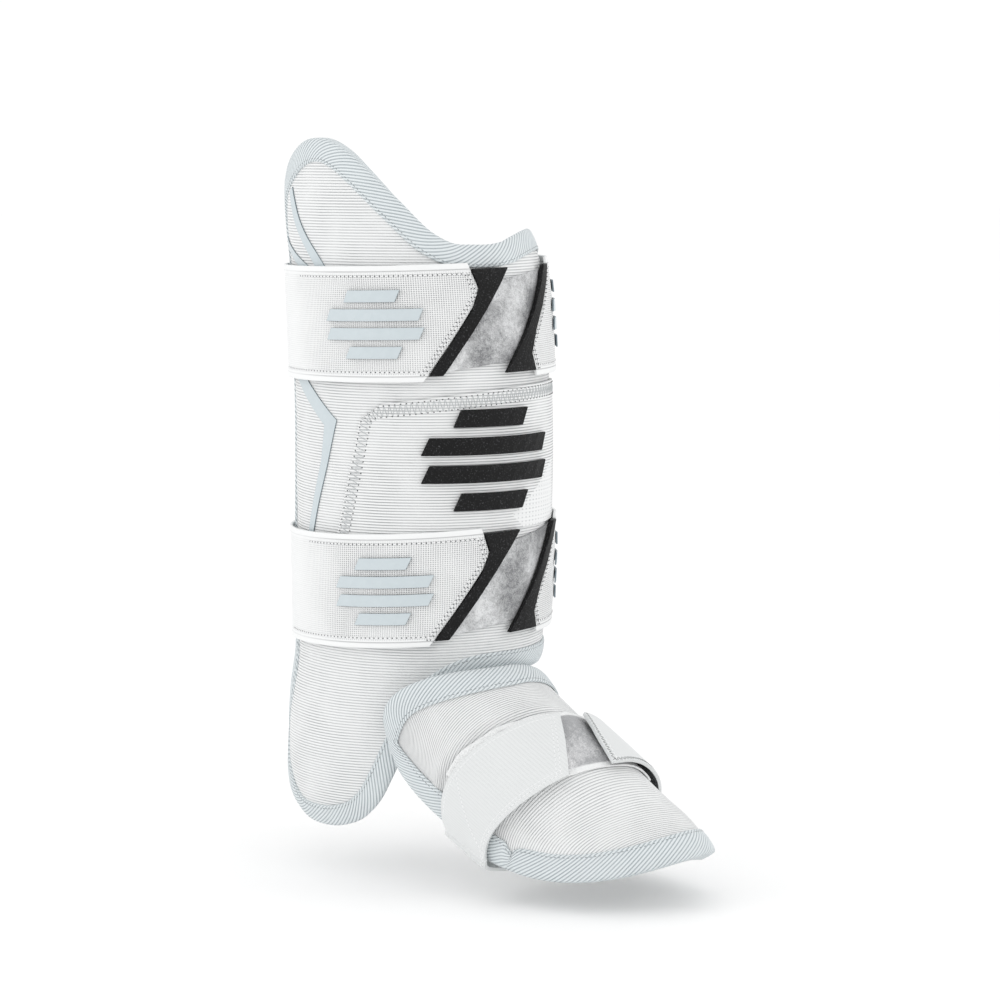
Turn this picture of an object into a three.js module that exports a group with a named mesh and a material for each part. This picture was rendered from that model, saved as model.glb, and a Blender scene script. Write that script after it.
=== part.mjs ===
// A batter's leg guard for the left leg, in millimetres, as it stands on an upright shin.
// +Z is up along the leg, -Y is the front of the shin and -X its inner side, towards the other leg.
// The origin is on the leg's axis, half way between the two calf straps.
import * as THREE from 'three';

// Pad that wraps the shin: outer size of its round section, wall, and the heights of its edge
const legHalfWidth = 67;
const legHalfDepth = 71;
const padWall = 6.5;
const frontTop = 115.5; // the dip below the kneecap
const lobeTop = 171; // the tall lobe at the inner side of the knee
const frontBottom = 111; // the edge over the instep
const flapDrop = 197; // the flap over the inner ankle
const sideShift = 13; // how far the knee lobe and the ankle flap stand towards the inner back
const shiftTurn = 52; // degrees round from the inner side to the back, the way of that shift

// Foot pad: it points a little outwards and starts in front of the shin pad
const toeOut = 10;
const footLength = 120; // from the front of the leg to the toe tip
const toeHalfWidth = 51.5;
const heelSpare = 5; // the foot pad's rear half width falls this short of the leg's
const toeDrop = 207.5; // lowest edge below the origin
const collarRise = 3.5; // the collar's crown above the shin pad's front edge
const footWall = 6;

// Edge tape
const shinTapeWidth = 11;
const footTapeWidth = 12.5;
const tapeThickness = 1.2;
const tapeRound = 1.4;
const insideShare = 0.6; // its width on the pad's inner face as a share of the outer
const tapeGap = 0.6; // under the tape, all round the shin pad's edge
const liningGap = 1.1; // the same at the pad's inner face
const edgeSpare = 1; // how much further out the tape's fold lies at the pad's inner face
const footTapeGap = 1.25; // the same three for the foot pad, which bends more sharply
const footLiningGap = 1.5;
const footEdgeSpare = 2;

// Webbing and hook-and-loop pieces
const strapWidth = 61;
const strapThickness = 1.8;
const upperStrapBottom = 45.5;
const lowerStrapRise = 16; // its bottom edge above the shin pad's front edge
const upperStrapLean = 1.6;
const lowerStrapLean = 4; // the outer side of a strap is this much higher than the middle
const leanTurn = 52; // the side where the strap is highest, in degrees from the front
const lowerStrapShift = 3.5; // its ends lie this much further to the outer side
const backSag = 6; // how far a strap pulls in towards the calf behind the pad
const sagTurns = [112, 150, 185, 216]; // degrees where that starts, is full, ends and is over
const fieldThickness = 1.2;
const fieldReach = 41; // half length of the loop field along the arc
const fieldSlant = 9; // how much its top and bottom edges rise to the outer side
const fieldInset = 9;
const trimThickness = 2.6;
const trimInset = 3;

// Cut of a strap's end, measured along the arc from the front's middle line
const frontTurn = 1.75; // degrees: the middle line lies a little to the outer side
const tabTip = 15.8;
const tabTopCorner = 21.5;
const tabBottomCorner = 48.5;
const tabTipLevel = 0.74; // share of the strap's width
const trimTop = 5; // beyond the middle line
const trimBottom = 40.5; // short of it

// Skins that lie on the pad
const skinGap = 0.7; // under the front panel, which is larger and stiffer than the film
const panelThickness = 1;
const panelTop = 41;
const panelLean = 5; // how much its top edge rises to the outer side
const panelDrop = 7; // and falls at both sides
const panelUnderStrap = 3;
// Its two sides in degrees from the front, and how far its top corners are cut back
const panelBottomTurns = [-79, 74];
const panelTopTurns = [-65, 66];
const panelCorner = { turn: 9, from: 0.88 };
const filmThickness = 0.5;

// Raised bars of the badge on the front panel, and the same badge smaller on each strap's end
const badgeWidth = 76;
const badgeBar = 9.4;
const badgePitch = 14.7;
const badgeSlant = 4.4;
const badgeThickness = 1.8;
const badgeRaise = 4; // its centre above the origin
const badgeInward = 10.5; // and towards the inner side from the front's middle line
const tabBadgeScale = 0.67;
const tabBadgeThickness = 0.8;
const tabBadgeFromTip = 58; // badge centre to the tip, along the arc

// Foot strap and the web that joins the two pads
const footStrapThickness = 2;
const footStrapSag = 4;
// The strap's front and rear edges as shares of the foot pad's length from the toe, where it
// leaves the sole and where it passes over the crown
const footStrapFront = { sole: 0.12, crown: 0.5 };
const footStrapRear = { sole: 0.38, crown: 0.73 };
const footStrapLift = 1.9; // more than the calf straps stand off
const footStrapTwist = 0.1; // its outer side lies further forward by this share
// Its two ends at its front edge, middle and rear edge, in degrees from the crown
const footStrapEnds = [
  { tab: -26, flap: -6 },
  { tab: -15, flap: 1 },
  { tab: -5, flap: 11 },
];
const footFieldTurns = [-62, 34];
const footFieldLevels = [-0.1, 1.2]; // its edges as shares of the strap's width
const webThickness = 2;
const webHalfTurn = 17;
const webOverlap = 17;

const fitGap = 0.5; // between pieces that are sewn or pressed together
const overTape = tapeGap + tapeThickness + fitGap; // clear of the tape's outer layer

// Sections of the leg by level: how far each is set aside, and its girth
const shinSections = [
  { at: -1, aside: 1.0, girth: 0.77 },
  { at: -0.94, aside: 1.0, girth: 0.84 },
  { at: -0.86, aside: 0.99, girth: 0.865 },
  { at: -0.65, aside: 0.5, girth: 0.93 },
  { at: -0.528, aside: 0.02, girth: 0.977 },
  { at: -0.194, aside: -0.12, girth: 1.008 },
  { at: 0.175, aside: -0.13, girth: 1.012 },
  { at: 0.614, aside: 0.14, girth: 0.993 },
  { at: 0.76, aside: 0.6, girth: 0.93 },
  { at: 1, aside: 0.9, girth: 0.862 },
];

// The pad's edge from its inner back to its outer back: degrees from the front, and how far
// its top rises to the lobe and its bottom falls to the flap
const shinEdge = index([
  { turn: -138, lobe: 0.26, flap: 0.46 },
  { turn: -134, lobe: 0.42, flap: 0.62 },
  { turn: -127, lobe: 0.57, flap: 0.76 },
  { turn: -118, lobe: 0.71, flap: 0.88 },
  { turn: -108, lobe: 0.84, flap: 0.96 },
  { turn: -98, lobe: 0.945, flap: 0.995 },
  { turn: -88, lobe: 1.0, flap: 1.0 },
  { turn: -77, lobe: 0.99, flap: 0.995 },
  { turn: -66, lobe: 0.892, flap: 0.965 },
  { turn: -57, lobe: 0.748, flap: 0.915 },
  { turn: -49, lobe: 0.598, flap: 0.82 },
  { turn: -43, lobe: 0.474, flap: 0.69 },
  { turn: -38, lobe: 0.37, flap: 0.51 },
  { turn: -33, lobe: 0.252, flap: 0.32 },
  { turn: -27, lobe: 0.114, flap: 0.15 },
  { turn: -19, lobe: 0.015, flap: 0.05 },
  { turn: -10, lobe: 0.0, flap: 0.01 },
  { turn: 0, lobe: 0.0, flap: 0 },
  { turn: 10, lobe: 0.027, flap: 0 },
  { turn: 21, lobe: 0.08, flap: 0 },
  { turn: 34, lobe: 0.117, flap: 0 },
  { turn: 48, lobe: 0.126, flap: 0 },
  { turn: 62, lobe: 0.08, flap: -0.01 },
  { turn: 75, lobe: -0.03, flap: -0.04 },
  { turn: 86, lobe: -0.18, flap: -0.11 },
  { turn: 95, lobe: -0.37, flap: -0.21 },
  { turn: 101, lobe: -0.6, flap: -0.34 },
  { turn: 105, lobe: -0.84, flap: -0.52 },
]);

// How many degrees the two back edges swing off the line between their lower and upper corners
const backEdges = index([
  { inner: 0, outer: 0 },
  { inner: 12, outer: 4 },
  { inner: 7, outer: 7 },
  { inner: -1, outer: 8 },
  { inner: -3, outer: 7 },
  { inner: -3, outer: 4 },
  { inner: 0, outer: 0 },
]);

// Arcs of the foot pad from the toe's edge back to the collar: where each starts and how far
// forward its crown is, from the leg's front as shares of the foot's length; its width from
// the toe's to the leg's; its lowest and crown height from the collar's to the lowest edge;
// how square its inner and outer halves are, how far its crown leans to the inner side, how
// bowed its plan is, and how much it dips between its start and its crown
const footArcs = index([
  { start: 0.342, crownAt: 1.0, wide: 0, low: 0.965, crown: 0.87,
    square: 2.0, outer: 2.0, lean: -0.12, bow: 2.0, dip: 0.07 },
  { start: 0.24, crownAt: 0.958, wide: 0.24, low: 0.925, crown: 0.775,
    square: 2.3, outer: 2.1, lean: -0.07, bow: 1.7, dip: 0.01 },
  { start: 0.13, crownAt: 0.842, wide: 0.43, low: 0.845, crown: 0.655,
    square: 2.5, outer: 2.1, lean: 0, bow: 1.6, dip: 0 },
  { start: 0.02, crownAt: 0.667, wide: 0.62, low: 0.76, crown: 0.488,
    square: 2.6, outer: 2.0, lean: 0.08, bow: 1.6, dip: 0 },
  { start: -0.09, crownAt: 0.492, wide: 0.78, low: 0.672, crown: 0.34,
    square: 2.7, outer: 1.9, lean: 0.15, bow: 1.6, dip: 0 },
  { start: -0.18, crownAt: 0.333, wide: 0.89, low: 0.58, crown: 0.212,
    square: 2.8, outer: 1.85, lean: 0.21, bow: 1.6, dip: 0 },
  { start: -0.245, crownAt: 0.192, wide: 0.95, low: 0.485, crown: 0.094,
    square: 3.1, outer: 1.8, lean: 0.26, bow: 1.6, dip: 0 },
  { start: -0.285, crownAt: 0.075, wide: 1.0, low: 0.358, crown: 0,
    square: 3.4, outer: 1.75, lean: 0.3, bow: 1.6, dip: 0 },
]);

// Middle lines of the stripes of film: degrees from the front, heights as shares of the
// lobe's, and the stripe's width
const middleStripe = [
  { turn: -110, level: 0.28, width: 8.5 },
  { turn: -83, level: 0.129, width: 8.5 },
  { turn: -87.5, level: 0, width: 5.5 },
  { turn: -99, level: -0.24, width: 5 },
];
const upperStripe = [
  { turn: -108.5, level: 0.85, width: 5 },
  { turn: -104, level: 0.801, width: 6 },
  { turn: -99.6, level: 0.746, width: 6.4 },
  { turn: -94.5, level: 0.69, width: 6.4 },
  { turn: -84.5, level: 0.6, width: 6.4 },
];
const cornerStripe = [
  { turn: -126, level: 0.69, width: 4 },
  { turn: -112, level: 0.649, width: 5 },
  { turn: -96, level: 0.602, width: 5 },
];

const colours = {
  white: 0xf4f5f5,
  tape: 0xd3dde1,
  silver: 0xa9abac,
  black: 0x1b1b1c,
};

// Numbers each row of a table evenly from 0 to 1.
function index(rows) {
  return rows.map((row, i) => ({ ...row, at: i / (rows.length - 1) }));
}

// Reads a table at a place: a smooth curve through its rows for every column.
function read(rows, at) {
  const up = rows[0].at < rows[rows.length - 1].at ? rows : [...rows].reverse();
  const place = THREE.MathUtils.clamp(at, up[0].at, up[up.length - 1].at);
  const i = Math.min(up.findLastIndex((row) => row.at <= place), up.length - 2);
  const [a, b] = [up[i], up[i + 1]];
  const span = b.at - a.at;
  const t = (place - a.at) / span;
  const slope = (n, column) => {
    const [low, high] = [up[Math.max(n - 1, 0)], up[Math.min(n + 1, up.length - 1)]];
    return ((high[column] - low[column]) / (high.at - low.at)) * span;
  };
  const curve = (column) =>
    a[column] * (1 + 2 * t) * (1 - t) ** 2 + slope(i, column) * t * (1 - t) ** 2 +
    b[column] * t * t * (3 - 2 * t) - slope(i + 1, column) * t * t * (1 - t);
  return Object.fromEntries(Object.keys(a).map((column) => [column, curve(column)]));
}

// Evens out 0 to 1 so that steps near both ends are finer by the share `ease`.
function easeEnds(share, ease) {
  return share - (ease * Math.sin(2 * Math.PI * share)) / (2 * Math.PI);
}

const lerp = THREE.MathUtils.lerp;
const radians = THREE.MathUtils.degToRad;
const degrees = THREE.MathUtils.radToDeg;
const arcTurn = (length) => degrees(length / legHalfDepth); // an arc length as degrees

// A point at right angles to a face, `lift` outside it. The face takes two ways along it,
// and `steps` are short steps both ways.
function offFace(face, steps, a, b, lift) {
  const spot = face(a, b);
  const wayA = face(a + steps[0], b).sub(face(a - steps[0], b));
  const wayB = face(a, b + steps[1]).sub(face(a, b - steps[1]));
  return spot.addScaledVector(wayA.cross(wayB).normalize(), lift);
}

// The shin pad's outer face, by degrees from the front and height.
function shinFace(turn, height) {
  const section = read(shinSections, height / (height > 0 ? lobeTop : flapDrop));
  const shift = sideShift * section.aside;
  const angle = radians(turn);
  return new THREE.Vector3(
    legHalfWidth * section.girth * Math.sin(angle) - shift * Math.sin(radians(shiftTurn)),
    shift * Math.cos(radians(shiftTurn)) - legHalfDepth * section.girth * Math.cos(angle),
    height,
  );
}
function onShin(turn, height, lift = 0) {
  return offFace(shinFace, [0.2, 0.2], turn, height, lift);
}

// The shin pad as a sheet: p from its inner back edge to its outer back edge, q upwards,
// in steps that are finer near its top and bottom edges.
function shinSheet(p, q, lift) {
  const edge = read(shinEdge, p);
  const back = read(backEdges, q);
  const top = frontTop + (lobeTop - frontTop) * edge.lobe;
  const bottom = -frontBottom - (flapDrop - frontBottom) * edge.flap;
  const nearEnd = Math.max(0, 1 - Math.min(p, 1 - p) * 5);
  const turn = edge.turn + nearEnd * (p < 0.5 ? back.inner : back.outer);
  return onShin(turn, lerp(bottom, top, easeEnds(q, 0.6)), lift);
}

const footForward = new THREE.Vector3(Math.sin(radians(toeOut)), -Math.cos(radians(toeOut)), 0);
const footInner = new THREE.Vector3(-Math.cos(radians(toeOut)), -Math.sin(radians(toeOut)), 0);

// The foot pad's outer face: q from the toe to the collar, `round` from -90 at the inner edge
// over the crown to 90 at the outer edge, and beyond it under the sole.
function footFace(round, q) {
  const arc = read(footArcs, q);
  const [side, top] = [Math.sin(radians(round)), Math.cos(radians(round))];
  const square = top < 0 ? 2 : side < 0 ? arc.square : arc.outer;
  const size = (Math.abs(side) ** square + Math.abs(top) ** square) ** (-1 / square);
  const across = side * size;
  const halfWidth = lerp(toeHalfWidth, legHalfWidth - heelSpare, arc.wide);
  const plan = top < 0 ? 0 : Math.max(0, 1 - Math.abs(across) ** arc.bow) ** (1 / arc.bow);
  const forward = legHalfDepth + footLength * lerp(arc.start, arc.crownAt, plan);
  const low = -lerp(frontBottom - collarRise, toeDrop, arc.low);
  const crown = -lerp(frontBottom - collarRise, toeDrop, arc.crown);
  const rise = top * size;
  const dip = 4 * rise * (1 - rise) * arc.dip * (toeDrop - frontBottom);
  const height = top < 0 ? low + rise * footStrapSag : lerp(low, crown, rise) - dip;
  const inner = halfWidth * (arc.lean * Math.max(0, rise) - across);
  return new THREE.Vector3(0, 0, height)
    .addScaledVector(footForward, forward)
    .addScaledVector(footInner, inner);
}
function onFoot(round, q, lift = 0) {
  return offFace(footFace, [0.4, 0.004], round, q, lift);
}

// The foot pad as a sheet: p from the inner edge over the crown to the outer edge.
function footSheet(p, q, lift) {
  return onFoot(lerp(-90, 90, easeEnds(p, 0.8)), easeEnds(q, 0.3), lift);
}

// A closed sheet made from a segmented box: place(p, q, side) puts each of its corners,
// with side 0 on the inner face and 1 on the outer face.
function bentSheet(columns, rows, place) {
  const geometry = new THREE.BoxGeometry(1, 1, 1, columns, rows, 1);
  const corners = geometry.attributes.position;
  for (let i = 0; i < corners.count; i++) {
    const spot = place(corners.getX(i) + 0.5, corners.getY(i) + 0.5, corners.getZ(i) + 0.5);
    corners.setXYZ(i, spot.x, spot.y, spot.z);
  }
  geometry.computeVertexNormals();
  return geometry;
}

// A closed ring made from a torus: place(along, around) takes both ways round it from 0 to 1.
function bentRing(stations, sides, place) {
  const geometry = new THREE.TorusGeometry(2, 1, sides, stations);
  const corners = geometry.attributes.position;
  const ways = geometry.attributes.uv;
  for (let i = 0; i < corners.count; i++) {
    const spot = place(ways.getX(i) % 1, (1 - ways.getY(i)) % 1);
    corners.setXYZ(i, spot.x, spot.y, spot.z);
  }
  geometry.computeVertexNormals();
  return geometry;
}

// Where a walk round a sheet's edge is: along the bottom, up, back along the top and down.
function edgeWay(columns, rows, step) {
  const lap = 2 * (columns + rows);
  const at = ((step % lap) + lap) % lap;
  if (at <= columns) return [at / columns, 0];
  if (at <= columns + rows) return [1, (at - columns) / rows];
  if (at <= 2 * columns + rows) return [1 - (at - columns - rows) / columns, 1];
  return [0, 1 - (at - 2 * columns - rows) / rows];
}

// Tape folded round the edge of a sheet: a thin channel that grips both its faces.
function edgeTape(sheet, columns, rows, wall, width, [gap, lining, spare]) {
  const lap = 2 * (columns + rows);
  const [outer, inner] = [tapeThickness + gap, tapeThickness + lining];
  // Its section: how far out of the edge, and how far off the pad's outer (side 1) or
  // inner face (side 0).
  const section = [
    { out: -width, off: gap, side: 1 },
    { out: -width, off: outer, side: 1 },
    { out: outer - tapeRound, off: outer, side: 1 },
    { out: outer, off: outer - tapeRound, side: 1 },
    { out: outer + spare, off: inner - tapeRound, side: 0 },
    { out: outer + spare - tapeRound, off: inner, side: 0 },
    { out: -insideShare * width, off: inner, side: 0 },
    { out: -insideShare * width, off: lining, side: 0 },
    { out: gap + spare, off: lining, side: 0 },
    { out: gap, off: gap, side: 1 },
    { out: -width / 2, off: gap, side: 1 },
  ];
  return bentRing(lap, section.length, (along, around) => {
    const step = Math.round(along * lap);
    const corner = section[Math.round(around * section.length) % section.length];
    const [p, q] = edgeWay(columns, rows, step);
    const edge = sheet(p, q, 0);
    const normal = sheet(p, q, 1).sub(edge);
    const ahead = sheet(...edgeWay(columns, rows, step + 1), 0).sub(edge).normalize();
    const behind = edge.clone().sub(sheet(...edgeWay(columns, rows, step - 1), 0)).normalize();
    const tangent = ahead.add(behind);
    const mitre = 2 / tangent.length(); // the same distance from both edges at a corner
    const out = tangent.cross(normal).normalize();
    const spot = edge.clone().addScaledVector(out, corner.out * mitre);
    const lift = corner.side ? corner.off : -wall - corner.off;
    if (corner.out > -tapeRound) return spot.addScaledVector(normal, lift);
    return sheet(...settle(sheet, spot, p, q), lift);
  });
}

// The place on a sheet nearest to a spot, from a place close by. A move that leads away from
// the spot is halved until it doesn't.
function settle(sheet, spot, p, q) {
  const step = 1e-3;
  const most = 0.998;
  let place = [Math.min(p, most), Math.min(q, most)];
  for (let i = 0; i < 8; i++) {
    const here = sheet(place[0], place[1], 0);
    const wayP = sheet(place[0] + step, place[1], 0).sub(here).divideScalar(step);
    const wayQ = sheet(place[0], place[1] + step, 0).sub(here).divideScalar(step);
    const off = spot.clone().sub(here);
    const [pp, qq, pq] = [wayP.dot(wayP), wayQ.dot(wayQ), wayP.dot(wayQ)];
    const [op, oq] = [off.dot(wayP), off.dot(wayQ)];
    const spread = pp * qq - pq * pq;
    const move = [(op * qq - oq * pq) / spread, (oq * pp - op * pq) / spread];
    let next = place;
    for (let share = 1; share > 0.01; share /= 2) {
      next = place.map((at, n) => THREE.MathUtils.clamp(at + move[n] * share, 0, most));
      if (sheet(...next, 0).distanceTo(spot) < off.length()) break;
      next = place;
    }
    place = next;
  }
  return place;
}

const guard = new THREE.Group();
function add(name, geometry, colour, roughness = 0.85, metalness = 0) {
  const material = new THREE.MeshStandardMaterial({ color: colour, roughness, metalness });
  const mesh = new THREE.Mesh(geometry, material);
  mesh.name = name;
  guard.add(mesh);
}

// Padded shells and their edge tape

const shinColumns = 34;
const shinRows = 13;
function shinPad() {
  const place = (p, q, side) => shinSheet(p, q, side ? 0 : -padWall);
  add('shin_pad', bentSheet(shinColumns, shinRows, place), colours.white);
  const shinGaps = [tapeGap, liningGap, edgeSpare];
  const shinTape = edgeTape(shinSheet, shinColumns, shinRows, padWall, shinTapeWidth, shinGaps);
  add('shin_tape', shinTape, colours.tape);
}

const footColumns = 26;
const footRows = 9;
function footPad() {
  const place = (p, q, side) => footSheet(p, q, side ? 0 : -footWall);
  add('foot_pad', bentSheet(footColumns, footRows, place), colours.white);
  const footGaps = [footTapeGap, footLiningGap, footEdgeSpare];
  const tape = edgeTape(footSheet, footColumns, footRows, footWall, footTapeWidth, footGaps);
  add('foot_tape', tape, colours.tape);
}

// Skins on the shin pad: the front panel and stripes of film

function frontPanel() {
  const place = (p, q, side) => {
    const cut = panelCorner.turn * Math.max(0, (q - panelCorner.from) / (1 - panelCorner.from));
    const [inner, outer] = [0, 1].map((i) => lerp(panelBottomTurns[i], panelTopTurns[i], q));
    const turn = lerp(inner + cut, outer - cut, p);
    const bottom = strapHeight(lowerStrap, turn, 1) - panelUnderStrap;
    const top = panelTop + panelLean * Math.sin(radians(turn)) -
      panelDrop * (1 - Math.cos(radians(turn)));
    return onShin(turn, lerp(bottom, top, q), skinGap + side * panelThickness);
  };
  add('front_panel', bentSheet(20, 6, place), colours.white);
}

// A stripe of film with mitred bends along a line of straight runs.
function stripe(name, line, steps) {
  const spots = line.map((row) =>
    new THREE.Vector2(radians(row.turn) * legHalfDepth, row.level * lobeTop));
  const across = spots.map((spot, i) => {
    const before = spot.clone().sub(spots[Math.max(i - 1, 0)]).normalize();
    const after = spots[Math.min(i + 1, spots.length - 1)].clone().sub(spot).normalize();
    const way = before.clone().add(after).normalize();
    const mitre = Math.max(way.dot(before), way.dot(after));
    return new THREE.Vector2(way.y, -way.x).multiplyScalar(line[i].width / 2 / mitre);
  });
  const runs = spots.length - 1;
  const place = (p, q, side) => {
    const i = Math.min(Math.floor(q * runs + 1e-6), runs - 1);
    const t = q * runs - i;
    const spot = spots[i].clone().lerp(spots[i + 1], t);
    spot.addScaledVector(across[i].clone().lerp(across[i + 1], t), 2 * p - 1);
    return onShin(arcTurn(spot.x), spot.y, fitGap + side * filmThickness);
  };
  add(name, bentSheet(1, runs * steps, place), colours.tape, 0.45);
}

// Straps round the calf. A strap is drawn flat, with `arc` along it from the front's middle
// line towards the outer side and `level` from 0 at its bottom edge to 1 at its top.

function strapHeight(strap, turn, level) {
  const lean = strap.lean * Math.cos(radians(turn - leanTurn));
  return strap.bottom + strapWidth * level + lean;
}
function onStrap(strap, arc, level, lift) {
  const turn = frontTurn + arcTurn(arc + strap.shift);
  return onShin(turn, strapHeight(strap, turn, level), lift);
}

// The cut end of the inner tab: its tip and its two straight sides.
function tabEnd(level) {
  return level > tabTipLevel
    ? lerp(-tabTip, -tabTopCorner, (level - tabTipLevel) / (1 - tabTipLevel))
    : lerp(-tabBottomCorner, -tabTip, level / tabTipLevel);
}

// The outer tab is the inner tab given a half turn about the middle of the front.
const halfTurn = {
  inner: (arc, level) => [arc, level],
  outer: (arc, level) => [-arc, 1 - level],
};
const tabLevels = [0, 0.2, 0.4, 0.6, 0.8, 1];
const upperStrap = {
  name: 'upper_strap',
  bottom: upperStrapBottom,
  lean: upperStrapLean,
  shift: 0,
};
const lowerStrap = {
  name: 'lower_strap',
  bottom: lowerStrapRise - frontBottom,
  lean: lowerStrapLean,
  shift: lowerStrapShift,
};

function calfStrap(strap) {
  const lap = legHalfDepth * Math.PI * 2;
  const place = (p, q, side) => {
    const level = tabLevels[Math.round(q * (tabLevels.length - 1))];
    const outerEnd = -tabEnd(1 - level);
    const arc = lerp(outerEnd, lap + tabEnd(level), p);
    const turn = arcTurn(arc);
    const behind = THREE.MathUtils.smoothstep(turn, sagTurns[0], sagTurns[1]) *
      (1 - THREE.MathUtils.smoothstep(turn, sagTurns[2], sagTurns[3]));
    return onStrap(strap, arc, level, overTape - backSag * behind + side * strapThickness);
  };
  add(strap.name, bentSheet(42, tabLevels.length - 1, place), colours.white);
}

function loopField(strap) {
  const slant = fieldSlant / strapWidth / 2;
  const inset = fieldInset / strapWidth;
  const place = (p, q, side) => {
    const arc = lerp(-fieldReach, fieldReach, p);
    const rise = lerp(-slant, slant, p);
    const level = q < 0.5
      ? lerp(inset + rise, 0.5, q * 2)
      : lerp(0.5, 1 - inset + rise, q * 2 - 1);
    return onStrap(strap, arc, level, fitGap + side * fieldThickness);
  };
  add(strap.name + '_loop_field', bentSheet(10, 2, place), colours.silver, 0.5, 0.4);
}

function endTrim(strap, side) {
  const inset = trimInset / strapWidth;
  const turned = halfTurn[side];
  const place = (p, q, face) => {
    const step = Math.round(q * (tabLevels.length - 1));
    const level = THREE.MathUtils.clamp(tabLevels[step], inset, 1 - inset);
    const near = tabEnd(level) + fitGap;
    const far = lerp(-trimBottom, trimTop, level);
    const [arc, height] = turned(lerp(near, far, p), level);
    return onStrap(strap, arc, height, overTape + face * trimThickness);
  };
  add(`${strap.name}_trim_${side}`, bentSheet(4, tabLevels.length - 1, place), colours.black, 0.6);
}

// Four slanted bars stacked into a lozenge
const barShares = [0.55, 1, 1, 0.55];
function badgeBars(name, scale, thickness, colour, place, roughness) {
  barShares.forEach((share, i) => {
    const middle = (1.5 - i) * badgePitch * scale;
    const half = (badgeWidth * scale * share) / 2;
    const shape = (p, q, side) => {
      const rise = (q - 0.5) * scale;
      const along = lerp(-half, half, p) + rise * badgeSlant;
      return place(along, middle + rise * badgeBar, side * thickness);
    };
    const columns = Math.ceil((half * 2) / 9);
    add(`${name}_${i + 1}`, bentSheet(columns, 1, shape), colour, roughness);
  });
}

function frontBadge() {
  const seat = skinGap + panelThickness + fitGap;
  badgeBars('front_badge', 1, badgeThickness, colours.black, (along, height, lift) =>
    onShin(frontTurn + arcTurn(along - badgeInward), badgeRaise + height, seat + lift), 0.6);
}

function tabBadge(strap, side) {
  const seat = overTape + strapThickness + fitGap;
  const turned = halfTurn[side];
  badgeBars(`${strap.name}_badge_${side}`, tabBadgeScale, tabBadgeThickness, colours.tape,
    (along, height, lift) => {
      const level = 0.5 + height / strapWidth;
      const [arc, turnedLevel] = turned(along - tabTip - tabBadgeFromTip, level);
      return onStrap(strap, arc, turnedLevel, seat + lift);
    }, 0.5);
}

// Foot strap: a whole loop over the foot pad and under the sole

function footStrapPlace(round, level) {
  const over = Math.max(0, Math.cos(radians(round)));
  const front = lerp(footStrapFront.sole, footStrapFront.crown, over);
  const rear = lerp(footStrapRear.sole, footStrapRear.crown, over);
  const outward = (1 + Math.sin(radians(round))) / 2;
  return lerp(front, rear, level) - footStrapTwist * outward;
}

function footStrap() {
  const place = (p, q, side) => {
    const end = footStrapEnds[Math.round(q * 2)];
    const round = lerp(end.tab, end.flap - 360, p);
    const lift = overTape + footStrapLift + (1 - side) * footStrapThickness;
    return onFoot(round, footStrapPlace(round, q), lift);
  };
  add('foot_strap', bentSheet(40, 2, place), colours.white);
}

function footLoopField() {
  const place = (p, q, side) => {
    const round = lerp(...footFieldTurns, p);
    const level = lerp(...footFieldLevels, q);
    return onFoot(round, footStrapPlace(round, level), fitGap + side * fieldThickness);
  };
  add('foot_loop_field', bentSheet(12, 3, place), colours.silver, 0.5, 0.4);
}

// Elastic web from the inside of the shin pad's lower edge to the inside of the foot pad

function instepWeb() {
  const inside = liningGap + tapeThickness;
  const underFoot = -footWall - footLiningGap - tapeThickness - fitGap;
  const underShin = -padWall - inside;
  const web = (p, q) => {
    const turn = lerp(-webHalfTurn, webHalfTurn, p);
    const round = turn * 0.9;
    const path = new THREE.CatmullRomCurve3([
      onFoot(round, 0.8, underFoot),
      onFoot(round, 0.92, underFoot),
      onShin(turn, -frontBottom - 14, underShin + 5),
      onShin(turn, -frontBottom - 4, underShin - 1),
      onShin(turn, -frontBottom + webOverlap, underShin),
    ]);
    return path.getPoint(THREE.MathUtils.clamp(q, 0, 1));
  };
  const place = (p, q, side) => offFace(web, [0.01, 0.01], p, q, (side - 1) * webThickness);
  add('instep_web', bentSheet(6, 10, place), colours.white);
}

shinPad();
footPad();
frontPanel();
stripe('stripe_middle', middleStripe, 5);
stripe('stripe_upper', upperStripe, 2);
stripe('stripe_corner', cornerStripe, 3);
frontBadge();
for (const strap of [upperStrap, lowerStrap]) {
  calfStrap(strap);
  loopField(strap);
  for (const side of ['inner', 'outer']) {
    endTrim(strap, side);
    tabBadge(strap, side);
  }
}
footStrap();
footLoopField();
instepWeb();

export default guard;
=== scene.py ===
# A batter's leg guard of white ribbed knit over foam, bound with blue-grey tape and closed behind
# the calf by two elastic straps, with a padded foot part under a strap of its own.
import math

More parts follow.
